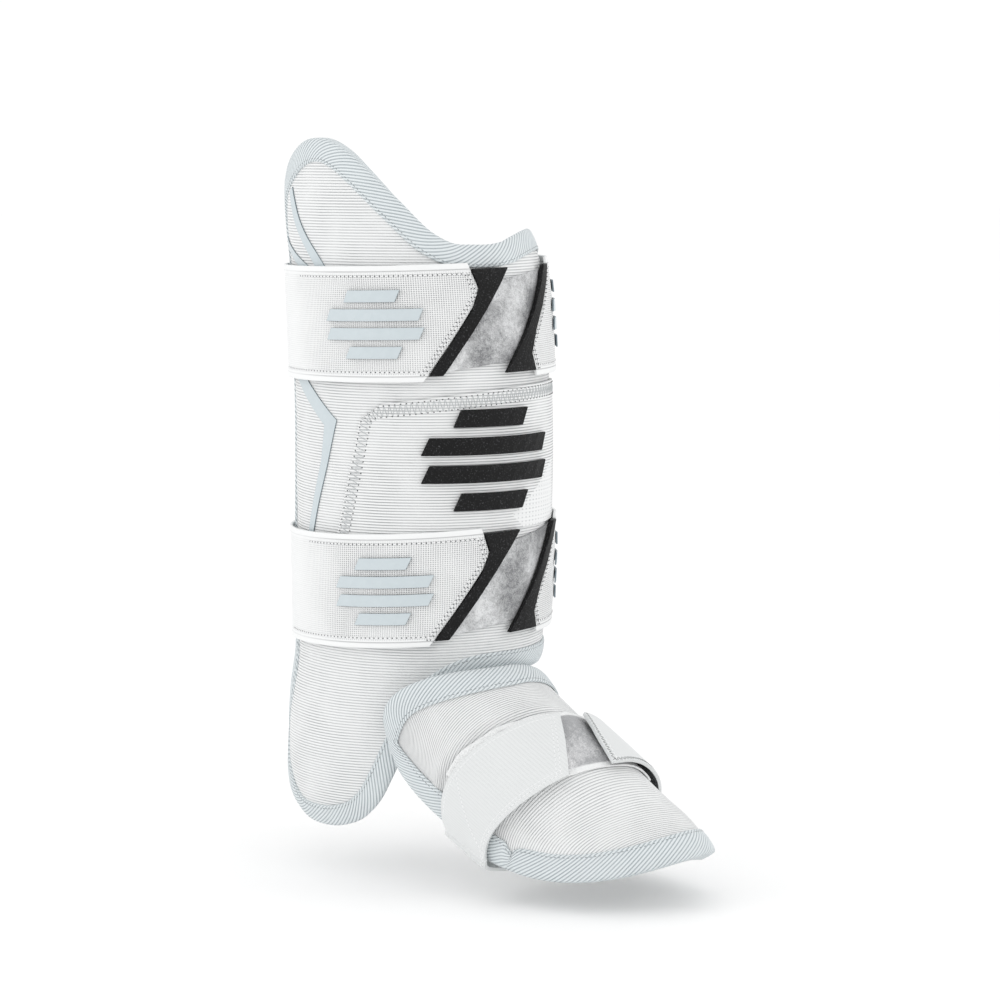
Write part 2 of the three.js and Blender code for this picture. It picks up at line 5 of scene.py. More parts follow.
import bpy
import numpy as np
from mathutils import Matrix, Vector


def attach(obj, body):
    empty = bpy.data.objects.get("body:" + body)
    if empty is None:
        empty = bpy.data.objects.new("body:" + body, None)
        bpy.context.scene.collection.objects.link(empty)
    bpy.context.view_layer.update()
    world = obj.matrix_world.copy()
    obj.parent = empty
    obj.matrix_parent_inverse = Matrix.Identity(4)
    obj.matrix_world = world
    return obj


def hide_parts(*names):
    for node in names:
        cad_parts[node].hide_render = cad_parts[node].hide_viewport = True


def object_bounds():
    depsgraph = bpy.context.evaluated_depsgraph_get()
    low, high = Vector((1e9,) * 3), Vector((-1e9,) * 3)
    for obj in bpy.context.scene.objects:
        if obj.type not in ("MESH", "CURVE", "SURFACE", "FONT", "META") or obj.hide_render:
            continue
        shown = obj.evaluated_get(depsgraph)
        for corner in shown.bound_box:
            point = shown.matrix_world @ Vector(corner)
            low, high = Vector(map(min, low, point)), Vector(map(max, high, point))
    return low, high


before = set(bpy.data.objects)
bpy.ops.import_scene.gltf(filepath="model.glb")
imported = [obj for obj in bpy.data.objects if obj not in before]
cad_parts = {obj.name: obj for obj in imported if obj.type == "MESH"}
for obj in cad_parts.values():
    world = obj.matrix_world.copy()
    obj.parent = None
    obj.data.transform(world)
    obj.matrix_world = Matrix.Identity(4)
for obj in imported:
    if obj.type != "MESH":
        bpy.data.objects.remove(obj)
cad_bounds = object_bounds()
bpy.ops.object.select_all(action="DESELECT")

MM = 0.001

# Camera: where it stands, in degrees and metres, and the point of the frame it looks at
CAMERA_AZIMUTH = -38
CAMERA_ELEVATION = 6.5
CAMERA_DISTANCE = 1.7
CAMERA_LENS = 111.3
CAMERA_SENSOR = 36
CAMERA_CLIP = 0.05
CAMERA_TARGET = Vector((0.0347, -0.0271, -0.0249))

# Floor and light, in metres, degrees and watts
FLOOR_SIZE = 30
FLOOR_GAP = 0.012
BACKDROP_STRENGTH = 1.03
SOFTBOXES = (
    {"name": "left_softbox", "azimuth": -100, "elevation": 20, "distance": 1.5, "size": 0.8, "power": 2.2},
    {"name": "right_softbox", "azimuth": 40, "elevation": 20, "distance": 1.6, "size": 0.7, "power": 1.8},
)

# The shin pad's sizes in millimetres, as in the frame
LEG_HALF_WIDTH = 67
LEG_HALF_DEPTH = 71
PAD_WALL = 6.5
FRONT_TOP = 115.5
LOBE_TOP = 171
FRONT_BOTTOM = 111
FLAP_DROP = 197
SIDE_SHIFT = 13
SHIFT_TURN = 52

# The foot pad's
TOE_OUT = 10
FOOT_LENGTH = 120
TOE_HALF_WIDTH = 51.5
HEEL_SPARE = 5
TOE_DROP = 207.5
COLLAR_RISE = 3.5
FOOT_WALL = 6

# Tape, straps, hook-and-loop pieces and the front panel
SHIN_TAPE_WIDTH = 11
FOOT_TAPE_WIDTH = 12.5
TAPE_THICKNESS = 1.2
TAPE_GAP = 0.6
STRAP_WIDTH = 61
STRAP_THICKNESS = 1.8
STRAP_WELT = 0.3
STRAP_WELT_EDGE = (3.5, 5)
UPPER_STRAP = {"name": "upper_strap", "bottom": 45.5, "lean": 1.6, "shift": 0}
LOWER_STRAP = {"name": "lower_strap", "bottom": 16 - FRONT_BOTTOM, "lean": 4, "shift": 3.5}
LEAN_TURN = 52
BACK_SAG = 6
SAG_TURNS = (112, 150, 185, 216)
FIELD_THICKNESS = 1.2
FIELD_REACH = 41
FIELD_SLANT = 9
FIELD_INSET = 9
FRONT_TURN = 1.75
TAB_TIP = 15.8
TAB_TOP_CORNER = 21.5
TAB_BOTTOM_CORNER = 48.5
TAB_TIP_LEVEL = 0.74
PANEL_TOP = 41
PANEL_LEAN = 5
PANEL_DROP = 7
PANEL_UNDER_STRAP = 3
PANEL_BOTTOM_TURNS = (-79, 74)
PANEL_TOP_TURNS = (-65, 66)
PANEL_CORNER_TURN = 9
PANEL_CORNER_FROM = 0.88
PANEL_THICKNESS = 1
PATCH_TIP = (4.3, -26.5)
PATCH_SLOPES = (0.63, 0.8)
PATCH_END = 50
SKIN_GAP = 0.7
FIT_GAP = 0.5
FILM_THICKNESS = 0.5
OVER_TAPE = TAPE_GAP + TAPE_THICKNESS + FIT_GAP

# Foot strap: its front and rear edges from the sole to the crown, and its two ends
FOOT_STRAP_FRONT = (0.12, 0.5)
FOOT_STRAP_REAR = (0.38, 0.73)
FOOT_STRAP_LIFT = 1.9
FOOT_STRAP_TWIST = 0.1
FOOT_STRAP_SAG = 4
FOOT_STRAP_THICKNESS = 2
FOOT_STRAP_WIDTH = 48
FOOT_STRAP_RADIUS = 48
FOOT_STRAP_TAB = (-26, -15, -5)
FOOT_STRAP_FLAP = (-6, 1, 11)
FOOT_FIELD_TURNS = (-62, 34)
FOOT_FIELD_LEVELS = (0.02, 1.13)
FOOT_PILE_SIZE = (90, 60)
FOOT_PILE_START = 26
FOOT_PILE_BORDER = 3.5

# Fabrics: how far apart their ribs, threads, pricks and hooks lie
SHIN_RIB_PITCH = 1.52
FOOT_RIB_PITCH = 1.75
KNIT_LOOP_PITCH = 0.9
PRICK_PITCH = (3.2, 2.2)
TAPE_RIB_PITCH = 3.0
TAPE_RIB_SLANT = 1.5
MESH_PITCH = (1.25, 1.1)
# Where the calf straps' woven mesh fades, in mm from their ends: painted light on their sides and back
PAINTED_LIGHT_FADE = (95, 150)
SELVEDGE = 3.4
SELVEDGE_LINE = 3.0
HOOK_PITCH = 1.6
HOOKS_END = -250

# Stitches and needle holes
TAPE_STITCH = {"pitch": 2.4, "length": 1.3, "width": 0.45, "height": 0.35}
STRAP_STITCH = {"pitch": 2.6, "length": 1.9, "width": 0.8, "height": 0.4}
STRAP_HOLE = {"pitch": 2.6, "length": 0.65, "width": 0.75, "height": 0.3, "offset": 0.0}
PANEL_ZIGZAG = {"pitch": 1.5, "length": 6.2, "width": 0.5, "height": 0.4, "turned": 78}
PANEL_HOLE = {"pitch": 3.2, "length": 0.8, "width": 0.8, "height": 0.4}
FOOT_STITCH = {"pitch": 2.5, "length": 1.7, "width": 0.5, "height": 0.25}
FOOT_HOLE = {"pitch": 2.5, "length": 0.45, "width": 0.45, "height": 0.12, "offset": 0.0}
FLAP_ZIGZAG = {"pitch": 1.3, "length": 2.2, "width": 0.4, "height": 0.25, "turned": 70}
STITCH_SINK = 0.1

# Seams on the straps: shares of the length at their start and end, then shares of the width
FOOT_STRAP_ROWS = [
    (0.79, 0.993, 0.055, 0.055),
    (0.79, 0.993, 0.1, 0.1),
    (0.79, 0.993, 0.94, 0.94),
    (0.99, 0.99, 0.06, 0.94),
    (0.985, 0.985, 0.06, 0.94),
    (0.855, 0.83, 0.96, 0.1),
    (0.008, 0.008, 0.04, 0.96),
]
FOOT_FLAP_ROWS = [(0.0035, 0.0035, 0.02, 0.98), (0.004, 0.2, 0.03, 0.03)]
CALF_ROW_INSET = 5.4
CALF_ROW_REACH = (0.009, 0.27)
CALF_END_ROWS = (0.006, 0.0105)
CALF_ROW_LIFT = 0.2

# Columns and rows of the finer grids
SHIN_GRID = (230, 150)
FOOT_GRID = (170, 130)
STRAP_GRID = (260, 60)
FOOT_STRAP_GRID = (240, 40)
PANEL_GRID = (150, 60)
FIELD_GRID = (110, 60)
SWELL_GRID = (301, 201)
EDGE_STEPS = 2000

# Roundings of edges, in millimetres and degrees
CLOTH_ROUNDING = 0.3
STRAP_ROUNDING = 0.35
FOOT_STRAP_ROUNDING = 0.4
TRIM_ROUNDING = 0.5
BADGE_ROUNDING = 0.45
TAB_BADGE_ROUNDING = 0.15
SHARP_ANGLE = 50

# Sections of the leg by level
SHIN_SECTIONS = {
    "at": [-1, -0.94, -0.86, -0.65, -0.528, -0.194, 0.175, 0.614, 0.76, 1],
    "aside": [1.0, 1.0, 0.99, 0.5, 0.02, -0.12, -0.13, 0.14, 0.6, 0.9],
    "girth": [0.77, 0.84, 0.865, 0.93, 0.977, 1.008, 1.012, 0.993, 0.93, 0.862],
}

# The shin pad's edge from its inner back to its outer back
SHIN_EDGE = {
    "turn": [-138, -134, -127, -118, -108, -98, -88, -77, -66, -57, -49, -43, -38, -33, -27,
             -19, -10, 0, 10, 21, 34, 48, 62, 75, 86, 95, 101, 105],
    "lobe": [0.26, 0.42, 0.57, 0.71, 0.84, 0.945, 1.0, 0.99, 0.892, 0.748, 0.598, 0.474, 0.37,
             0.252, 0.114, 0.015, 0, 0, 0.027, 0.08, 0.117, 0.126, 0.08, -0.03, -0.18, -0.37,
             -0.6, -0.84],
    "flap": [0.46, 0.62, 0.76, 0.88, 0.96, 0.995, 1.0, 0.995, 0.965, 0.915, 0.82, 0.69, 0.51,
             0.32, 0.15, 0.05, 0.01, 0, 0, 0, 0, 0, -0.01, -0.04, -0.11, -0.21, -0.34, -0.52],
}
BACK_EDGES = {
    "inner": [0, 12, 7, -1, -3, -3, 0],
    "outer": [0, 4, 7, 8, 7, 4, 0],
}

# Arcs of the foot pad from the toe's edge back to the collar
FOOT_ARCS = {
    "start": [0.342, 0.24, 0.13, 0.02, -0.09, -0.18, -0.245, -0.285],
    "crown_at": [1.0, 0.958, 0.842, 0.667, 0.492, 0.333, 0.192, 0.075],
    "wide": [0, 0.24, 0.43, 0.62, 0.78, 0.89, 0.95, 1.0],
    "low": [0.965, 0.925, 0.845, 0.76, 0.672, 0.58, 0.485, 0.358],
    "crown": [0.87, 0.775, 0.655, 0.488, 0.34, 0.212, 0.094, 0],
    "square": [2.0, 2.3, 2.5, 2.6, 2.7, 2.8, 3.1, 3.4],
    "outer": [2.0, 2.1, 2.1, 2.0, 1.9, 1.85, 1.8, 1.75],
    "lean": [-0.12, -0.07, 0, 0.08, 0.15, 0.21, 0.26, 0.3],
    "bow": [2.0, 1.7, 1.6, 1.6, 1.6, 1.6, 1.6, 1.6],
    "dip": [0.07, 0.01, 0, 0, 0, 0, 0, 0],
}

# Middle lines of the film stripes: degrees from the front, share of the lobe's height, width
STRIPES = {
    "stripe_middle": [(-110, 0.28, 8.5), (-83, 0.129, 8.5), (-87.5, 0, 5.5), (-99, -0.24, 5)],
    "stripe_upper": [(-108.5, 0.85, 5), (-104, 0.801, 6), (-99.6, 0.746, 6.4),
                     (-94.5, 0.69, 6.4), (-84.5, 0.6, 6.4)],
    "stripe_corner": [(-126, 0.69, 4), (-112, 0.649, 5), (-96, 0.602, 5)],
}


def lerp(a, b, t):
    return a + (b - a) * t


def smooth(value, low, high):
    """0 below low, 1 above high and a soft step between them."""
    t = np.clip((value - low) / (high - low), 0, 1)
    return t * t * (3 - 2 * t)


def within(value, low, full, fade, high):
    """Rises from 0 at low to 1 at full, and falls again from fade to 0 at high."""
    return smooth(value, low, full) * (1 - smooth(value, fade, high))


def run_lengths(line):
    """How far each point of a line lies along it."""
    return np.concatenate([[0], np.cumsum(np.linalg.norm(np.diff(line, axis=0), axis=-1))])


def read(table, at):
    """Reads a table at places from 0 to 1, or by its own column of places, on smooth curves."""
    columns = {name: np.array(values, float) for name, values in table.items()}
    count = len(next(iter(columns.values())))
    places = columns.pop("at", np.linspace(0, 1, count))
    at = np.clip(at, places[0], places[-1])
    i = np.clip(np.searchsorted(places, at, side="right") - 1, 0, count - 2)
    span = places[i + 1] - places[i]
    t = (at - places[i]) / span
    found = {}
    for name, values in columns.items():
        high = np.minimum(np.arange(count) + 1, count - 1)
        low = np.maximum(np.arange(count) - 1, 0)
        slope = (values[high] - values[low]) / (places[high] - places[low])
        found[name] = (
            values[i] * (1 + 2 * t) * (1 - t) ** 2
            + slope[i] * span * t * (1 - t) ** 2
            + values[i + 1] * t * t * (3 - 2 * t)
            - slope[i + 1] * span * t * t * (1 - t)
        )
    return found


def arc_turn(length):
    """A length along the leg's front as degrees."""
    return np.degrees(length / LEG_HALF_DEPTH)


def off_face(face, steps, a, b, lift):
    """Points at right angles to a face, lift millimetres outside it."""
    way_a = face(a + steps[0], b) - face(a - steps[0], b)
    way_b = face(a, b + steps[1]) - face(a, b - steps[1])
    normal = np.cross(way_a, way_b)
    normal /= np.linalg.norm(normal, axis=-1, keepdims=True)
    return face(a, b) + normal * np.broadcast_to(lift, a.shape)[..., None]


def shin_face(turn, height):
    """The shin pad's outer face, by degrees from the front and height."""
    section = read(SHIN_SECTIONS, height / np.where(height > 0, LOBE_TOP, FLAP_DROP))
    shift = SIDE_SHIFT * section["aside"]
    angle = np.radians(turn)
    side = math.radians(SHIFT_TURN)
    x = LEG_HALF_WIDTH * section["girth"] * np.sin(angle) - shift * math.sin(side)
    y = shift * math.cos(side) - LEG_HALF_DEPTH * section["girth"] * np.cos(angle)
    return np.stack([x, y, height], -1)


def on_shin(turn, height, lift=0.0):
    turn, height = np.broadcast_arrays(np.asarray(turn, float), np.asarray(height, float))
    return off_face(shin_face, (0.2, 0.2), turn, height, lift)


def ease_ends(share, ease):
    return share - ease * np.sin(2 * math.pi * share) / (2 * math.pi)


def shin_place(p, q):
    """Degrees from the front and height of a place on the shin pad."""
    edge = read(SHIN_EDGE, p)
    back = read(BACK_EDGES, q)
    top = FRONT_TOP + (LOBE_TOP - FRONT_TOP) * edge["lobe"]
    bottom = -FRONT_BOTTOM - (FLAP_DROP - FRONT_BOTTOM) * edge["flap"]
    near_end = np.maximum(0, 1 - np.minimum(p, 1 - p) * 5)
    turn = edge["turn"] + near_end * np.where(p < 0.5, back["inner"], back["outer"])
    return turn, lerp(bottom, top, ease_ends(q, 0.6))


def shin_sheet(p, q, lift=0.0):
    return on_shin(*shin_place(p, q), lift)


FOOT_FORWARD = np.array([math.sin(math.radians(TOE_OUT)), -math.cos(math.radians(TOE_OUT)), 0])
FOOT_INNER = np.array([-math.cos(math.radians(TOE_OUT)), -math.sin(math.radians(TOE_OUT)), 0])


def foot_face(turn, q):
    """The foot pad's outer face: q from toe to collar, turn from -90 at its inner edge to 90."""
    arc = read(FOOT_ARCS, q)
    side, top = np.sin(np.radians(turn)), np.cos(np.radians(turn))
    square = np.where(top < 0, 2, np.where(side < 0, arc["square"], arc["outer"]))
    size = (np.abs(side) ** square + np.abs(top) ** square) ** (-1 / square)
    across = side * size
    half_width = lerp(TOE_HALF_WIDTH, LEG_HALF_WIDTH - HEEL_SPARE, arc["wide"])
    inside = np.maximum(0, 1 - np.abs(across) ** arc["bow"])
    plan = np.where(top < 0, 0, inside ** (1 / arc["bow"]))
    forward = LEG_HALF_DEPTH + FOOT_LENGTH * lerp(arc["start"], arc["crown_at"], plan)
    low = -lerp(FRONT_BOTTOM - COLLAR_RISE, TOE_DROP, arc["low"])
    crown = -lerp(FRONT_BOTTOM - COLLAR_RISE, TOE_DROP, arc["crown"])
    rise = top * size
    dip = 4 * rise * (1 - rise) * arc["dip"] * (TOE_DROP - FRONT_BOTTOM)
    height = np.where(top < 0, low + rise * FOOT_STRAP_SAG, lerp(low, crown, rise) - dip)
    inner = half_width * (arc["lean"] * np.maximum(0, rise) - across)
    up = np.array([0, 0, 1])
    return height[..., None] * up + forward[..., None] * FOOT_FORWARD + inner[..., None] * FOOT_INNER


def on_foot(turn, q, lift=0.0):
    turn, q = np.broadcast_arrays(np.asarray(turn, float), np.asarray(q, float))
    return off_face(foot_face, (0.4, 0.004), turn, q, lift)


def foot_place(p, q):
    return lerp(-90, 90, ease_ends(p, 0.8)), ease_ends(q, 0.3)


def foot_sheet(p, q, lift=0.0):
    return on_foot(*foot_place(p, q), lift)


# Materials

def linear(hex_colour):
    """An sRGB hex colour as linear RGBA."""
    shares = [int(hex_colour[i:i + 2], 16) / 255 for i in (0, 2, 4)]
    lit = [c / 12.92 if c <= 0.04045 else ((c + 0.055) / 1.055) ** 2.4 for c in shares]
    return (*lit, 1)


def wire(tree, kind, inputs=None, **settings):
    """Adds a node with its settings, and a value or a link for each input named."""
    node = tree.nodes.new(kind)
    for name, value in settings.items():
        setattr(node, name, value)
    for key, value in (inputs or {}).items():
        if isinstance(value, bpy.types.NodeSocket):
            tree.links.new(value, node.inputs[key])
        else:
            node.inputs[key].default_value = value
    return node


def new_material(name, **surface):
    """An empty material with its shader, and the shader's own values."""
    material = bpy.data.materials.new(name)
    material.use_nodes = True
    shader = material.node_tree.nodes["Principled BSDF"]
    for key, value in surface.items():
        shader.inputs[key.replace("_", " ")].default_value = value
    return material, material.node_tree, shader


def math_node(tree, operation, a, b=0.0, c=0.0):
    node = wire(tree, "ShaderNodeMath", {0: a, 1: b, 2: c}, operation=operation)
    return node.outputs[0]


def cloth_uv(tree):
    """The cloth's own coordinates, in millimetres along it and across it."""
    place = wire(tree, "ShaderNodeUVMap", uv_map="cloth")
    return wire(tree, "ShaderNodeSeparateXYZ", {0: place.outputs[0]}).outputs


def wave(tree, value, pitch, power):
    """Narrow lines, a pitch apart: 1 on each line and 0 between them."""
    angle = math_node(tree, "MULTIPLY", value, 2 * math.pi / pitch)
    swing = math_node(tree, "MULTIPLY_ADD", math_node(tree, "COSINE", angle), 0.5, 0.5)
    return math_node(tree, "POWER", swing, power)


def noise_of(tree, scale, detail=2.0):
    place = wire(tree, "ShaderNodeTexCoord")
    spread = {"Vector": place.outputs["Object"], "Scale": scale, "Detail": detail}
    return wire(tree, "ShaderNodeTexNoise", spread).outputs["Fac"]


def mix(tree, share, a, b):
    blend = wire(tree, "ShaderNodeMix", {0: share, 6: a, 7: b}, data_type="RGBA")
    return blend.outputs[2]


def finish_shader(tree, shader, colour, relief, depth):
    """Colour and bump, with the relief's depth in millimetres."""
    bump = wire(tree, "ShaderNodeBump", {"Height": relief, "Distance": depth * MM, "Strength": 1.0})
    tree.links.new(colour, shader.inputs["Base Color"])
    tree.links.new(bump.outputs[0], shader.inputs["Normal"])


def clamp(tree, value):
    return math_node(tree, "MINIMUM", math_node(tree, "MAXIMUM", value, 0.0), 1.0)


def distance_from(tree, value, place):
    return math_node(tree, "ABSOLUTE", math_node(tree, "ADD", value, -place))


def pressed_patch(tree, along, height):
    """How far thin film covers the front panel: a wedge that widens to the outer side."""
    (tip_along, tip_height), (upper, lower) = PATCH_TIP, PATCH_SLOPES
    below = math_node(tree, "MULTIPLY_ADD", along, upper, tip_height - upper * tip_along)
    below = math_node(tree, "MULTIPLY_ADD", height, -1.0, below)
    above = math_node(tree, "MULTIPLY_ADD", along, lower, -tip_height - lower * tip_along)
    above = math_node(tree, "ADD", height, above)
    inside = math_node(tree, "MINIMUM", math_node(tree, "MINIMUM", below, above),
                       math_node(tree, "MULTIPLY_ADD", along, -1.0, PATCH_END))
    return clamp(tree, math_node(tree, "MULTIPLY", inside, 2.0))


def ribbed_knit(name, pitch, groove_shade, depth, patched=False):
    """Polyester rib knit: fine raised ribs with painted shade in the narrow grooves between them."""
    material, tree, shader = new_material(
        name, Roughness=0.85, Sheen_Weight=0.1, Sheen_Roughness=0.4)
    along, across, _ = cloth_uv(tree)
    slow = noise_of(tree, 45)
    waver = math_node(tree, "MULTIPLY_ADD", slow, 0.35, across)
    groove = wave(tree, waver, pitch, 4.0)
    loops = wave(tree, along, KNIT_LOOP_PITCH, 1.0)
    patchy = clamp(tree, math_node(tree, "MULTIPLY_ADD", slow, 1.8, -0.2))
    shown = math_node(tree, "MULTIPLY", groove, patchy)
    if patched:
        film = pressed_patch(tree, along, across)
        bare = math_node(tree, "MULTIPLY_ADD", film, -0.85, 1.0)
        shown, groove = (math_node(tree, "MULTIPLY", part, bare) for part in (shown, groove))
        lines = [wave(tree, way, pitch, 3.0) for way, pitch in zip((along, across), PRICK_PITCH)]
        pricks = math_node(tree, "MULTIPLY", *lines)
        pricks = math_node(tree, "MULTIPLY", pricks, math_node(tree, "MULTIPLY", film, slow))
        shown = math_node(tree, "MULTIPLY_ADD", pricks, 1.1, shown)
    # Painted shade: the grooves, and the pricks of the pressed film, take the darker groove colour.
    colour = mix(tree, shown, linear("eceded"), linear(groove_shade))
    relief = math_node(tree, "MULTIPLY_ADD", loops, 0.1, math_node(tree, "MULTIPLY", groove, -1.0))
    finish_shader(tree, shader, colour, relief, depth)
    return material


def bound_tape():
    """Ribbed elastic binding: pale blue-grey with fine slanting ribs and painted shade in their grooves.
    """
    material, tree, shader = new_material("ribbed_elastic_binding", Roughness=0.7, Sheen_Weight=0.1)
    along, across, _ = cloth_uv(tree)
    slant = math_node(tree, "MULTIPLY_ADD", across, TAPE_RIB_SLANT, along)
    groove = wave(tree, slant, TAPE_RIB_PITCH, 3.0)
    patches = noise_of(tree, 70)
    shown = math_node(tree, "MULTIPLY", groove, math_node(tree, "MULTIPLY_ADD", patches, 0.6, 0.5))
    # Painted shade: the grooves take the darker blue-grey.
    colour = mix(tree, shown, linear("dee4e6"), linear("9ba6ab"))
    relief = math_node(tree, "MULTIPLY", groove, -1.0)
    finish_shader(tree, shader, colour, relief, 0.3)
    return material


def woven_elastic(name, depth, pit_shade, light_fade=None, thread_colour="eeefef"):
    """Woven elastic: a small even mesh of raised threads with painted shade in the pits between
    them. Where fade distances are given, the mesh fades over these two distances from the
    strap's ends, as painted light on the strap's sides and back, and a thin line of painted
    shade runs inside each selvedge."""
    material, tree, shader = new_material(name, Roughness=0.8, Sheen_Weight=0.1)
    along, across, _ = cloth_uv(tree)
    lines = [wave(tree, way, pitch, 1.0) for way, pitch in zip((along, across), MESH_PITCH)]
    pits = math_node(tree, "MULTIPLY", *lines)
    strength = math_node(tree, "MULTIPLY_ADD", noise_of(tree, 40), 0.7, 0.3)
    if light_fade:
        half_width, lap = STRAP_WIDTH / 2, 2 * math.pi * LEG_HALF_DEPTH
        near, far = light_fade
        off_middle = distance_from(tree, across, half_width)
        selvedge = math_node(tree, "MULTIPLY_ADD", off_middle, -0.6, 0.6 * (half_width - SELVEDGE))
        strength = math_node(tree, "MULTIPLY", strength, clamp(tree, selvedge))
        off_line = distance_from(tree, off_middle, half_width - SELVEDGE_LINE)
        line = clamp(tree, math_node(tree, "MULTIPLY_ADD", off_line, -3.0, 1.2))
        # Painted light: away from the strap's ends the mesh's painted shade fades, down to 0.3 of its
        # strength towards the back.
        from_back = distance_from(tree, along, lap / 2)
        from_end = math_node(tree, "ADD", math_node(tree, "MULTIPLY", from_back, -1.0), lap / 2)
        fade = math_node(tree, "MULTIPLY_ADD", from_end, -1 / (far - near), far / (far - near))
        near_end = math_node(tree, "MAXIMUM", clamp(tree, fade), 0.3)
        strength = math_node(tree, "MULTIPLY", strength, near_end)
    shown = math_node(tree, "MULTIPLY", pits, strength)
    if light_fade:
        line = math_node(tree, "MULTIPLY", line, near_end)
        shown = math_node(tree, "MULTIPLY_ADD", line, 0.45, shown)
    # Painted shade: the pits and the selvedge lines take the darker colour.
    colour = mix(tree, shown, linear(thread_colour), linear(pit_shade))
    finish_shader(tree, shader, colour, math_node(tree, "MULTIPLY", shown, -1.0), depth)
    return material


def hook_tape_and_shade():
    """The foot strap's inner side: grey moulded hooks under its flap, plain elastic beyond. The hooks'
    dark grey is partly painted shade, between the hooks and under the flap's edge.
    """
    material, tree, shader = new_material("grey_hook_tape_and_painted_shade", Roughness=0.7)
    along, across, _ = cloth_uv(tree)
    lines = [wave(tree, way, HOOK_PITCH, 1.0) for way in (along, across)]
    hooks = math_node(tree, "MULTIPLY", *lines)
    # Painted shade: darker between the hooks, and the dark grey also stands for the shadow under the
    # flap's edge.
    grey = mix(tree, hooks, linear("3c3e40"), linear("7a7c7e"))
    from_flap = clamp(tree, math_node(tree, "MULTIPLY_ADD", along, 0.3, -0.3 * HOOKS_END))
    finish_shader(tree, shader, mix(tree, from_flap, grey, linear("e0e2e2")), hooks, 0.3)
    return material


def loop_pile(name, dark, light, bare=None):
    """Brushed loop pile: silvery grey, with painted highlights in patches and streaks where it
    catches the light, and painted shade that darkens it further along the band. Where bare is
    given, it lists where along the band the pile starts, the band's width and its plain white border."""
    material, tree, shader = new_material(
        name, Metallic=0.15, Roughness=0.5, Sheen_Weight=0.4, Sheen_Roughness=0.3)
    along, across, _ = cloth_uv(tree)
    scales = ((38, 1.0), (330, 5.0), (1500, 3.0))
    slow, curls, fibres = (noise_of(tree, scale, detail) for scale, detail in scales)
    # Painted light: steadily darker further along the band on its less lit side, and brighter in noise
    # patches and streaks as painted highlights.
    share = math_node(tree, "MULTIPLY_ADD", along, -0.012, -1.3)
    for part, weight in ((slow, 2.4), (curls, 1.0), (fibres, 1.2)):
        share = math_node(tree, "MULTIPLY_ADD", part, weight, share)
    colour = mix(tree, clamp(tree, share), linear(dark), linear(light))
    if bare:
        start, width, border = bare
        off_middle = distance_from(tree, across, width / 2)
        inside = math_node(tree, "MULTIPLY_ADD", off_middle, -0.7, 0.7 * (width / 2 - border))
        from_start = math_node(tree, "MULTIPLY_ADD", along, 0.3, -0.3 * start)
        shown = math_node(tree, "MULTIPLY", clamp(tree, inside), clamp(tree, from_start))
        colour = mix(tree, shown, linear("f2f3f3"), colour)
    finish_shader(tree, shader, colour, math_node(tree, "MULTIPLY_ADD", fibres, 0.6, curls), 0.8)
    return material


def moulded_rubber():
    """Moulded thermoplastic rubber: black with a fine spark-eroded grain."""
    material, tree, shader = new_material(
        "grained_black_rubber", Roughness=0.55, Specular_IOR_Level=0.22)
    grain = noise_of(tree, 1300, 2.0)
    sparks = clamp(tree, math_node(tree, "MULTIPLY_ADD", grain, 6.0, -3.5))
    colour = mix(tree, sparks, linear("0a0a0b"), linear("4a4b4d"))
    finish_shader(tree, shader, colour, grain, 0.22)
    return material


def satin_film(name, hex_colour, shade):
    """Heat-pressed film: thin, satin and even."""
    material, tree, shader = new_material(name, Roughness=0.4, Coat_Weight=0.08)
    colour = mix(tree, noise_of(tree, 300), linear(hex_colour), linear(shade))
    finish_shader(tree, shader, colour, noise_of(tree, 2000), 0.04)
    return material


def stitch_material(name, hex_colour, shade):
    """Spun polyester thread, and the same material in dark colours as painted shade in needle holes."""
    material, tree, shader = new_material(name, Roughness=0.6, Sheen_Weight=0.2)
    colour = mix(tree, noise_of(tree, 1200), linear(hex_colour), linear(shade))
    finish_shader(tree, shader, colour, noise_of(tree, 2500), 0.05)
    return material


SHELL_KNIT = ribbed_knit("ribbed_polyester_knit", SHIN_RIB_PITCH, "aeb1b3", 0.26)
FOOT_KNIT = ribbed_knit("ribbed_foot_knit", FOOT_RIB_PITCH, "b0b3b4", 0.25)
PANEL_KNIT = ribbed_knit("ribbed_panel_knit", SHIN_RIB_PITCH, "a0a3a5", 0.28, patched=True)
LINING = woven_elastic("brushed_knit_lining", 0.2, "d0d3d5")
TAPE = bound_tape()
WEBBING = woven_elastic("woven_elastic_webbing", 0.5, "6f7274", PAINTED_LIGHT_FADE)
FOOT_WEBBING = woven_elastic("fine_elastic_webbing", 0.08, "d2d4d4", thread_colour="e0e2e2")
HOOKS_AND_SHADE = hook_tape_and_shade()
PILE = loop_pile("brushed_loop_pile", "7c7d7f", "e6e7e8")
FOOT_PILE = loop_pile("bordered_loop_pile", "a6a7a9", "f4f4f5",
                      (FOOT_PILE_START, FOOT_PILE_SIZE[1], FOOT_PILE_BORDER))
RUBBER = moulded_rubber()
FILM = satin_film("pressed_satin_film", "c2ccd0", "cad3d7")
FILM_SHADE = satin_film("pressed_film_border", "6c7980", "7a878e")
THREAD = stitch_material("pale_polyester_thread", "f6f6f6", "e6e7e8")
# Grey thread for the panel's zigzag, darkened as painted shade for the pressed valleys between its
# stitches.
ZIGZAG_THREAD_AND_SHADE = stitch_material("grey_zigzag_thread_and_painted_shade", "a3a7a9", "c9cccd")
GREY_THREAD = stitch_material("grey_polyester_thread", "6d7377", "a4a9ac")
# Painted shade: needle holes are stitch pieces coloured dark; the darkest also serves as dark thread on
# the foot flap's zigzag.
SOFT_HOLE_SHADE = stitch_material("pale_needle_hole_shade", "8a8d8f", "b4b6b8")
DARK_THREAD_AND_HOLE_SHADE = stitch_material("dark_thread_and_needle_hole_shade", "323436", "585b5d")


# Making pieces

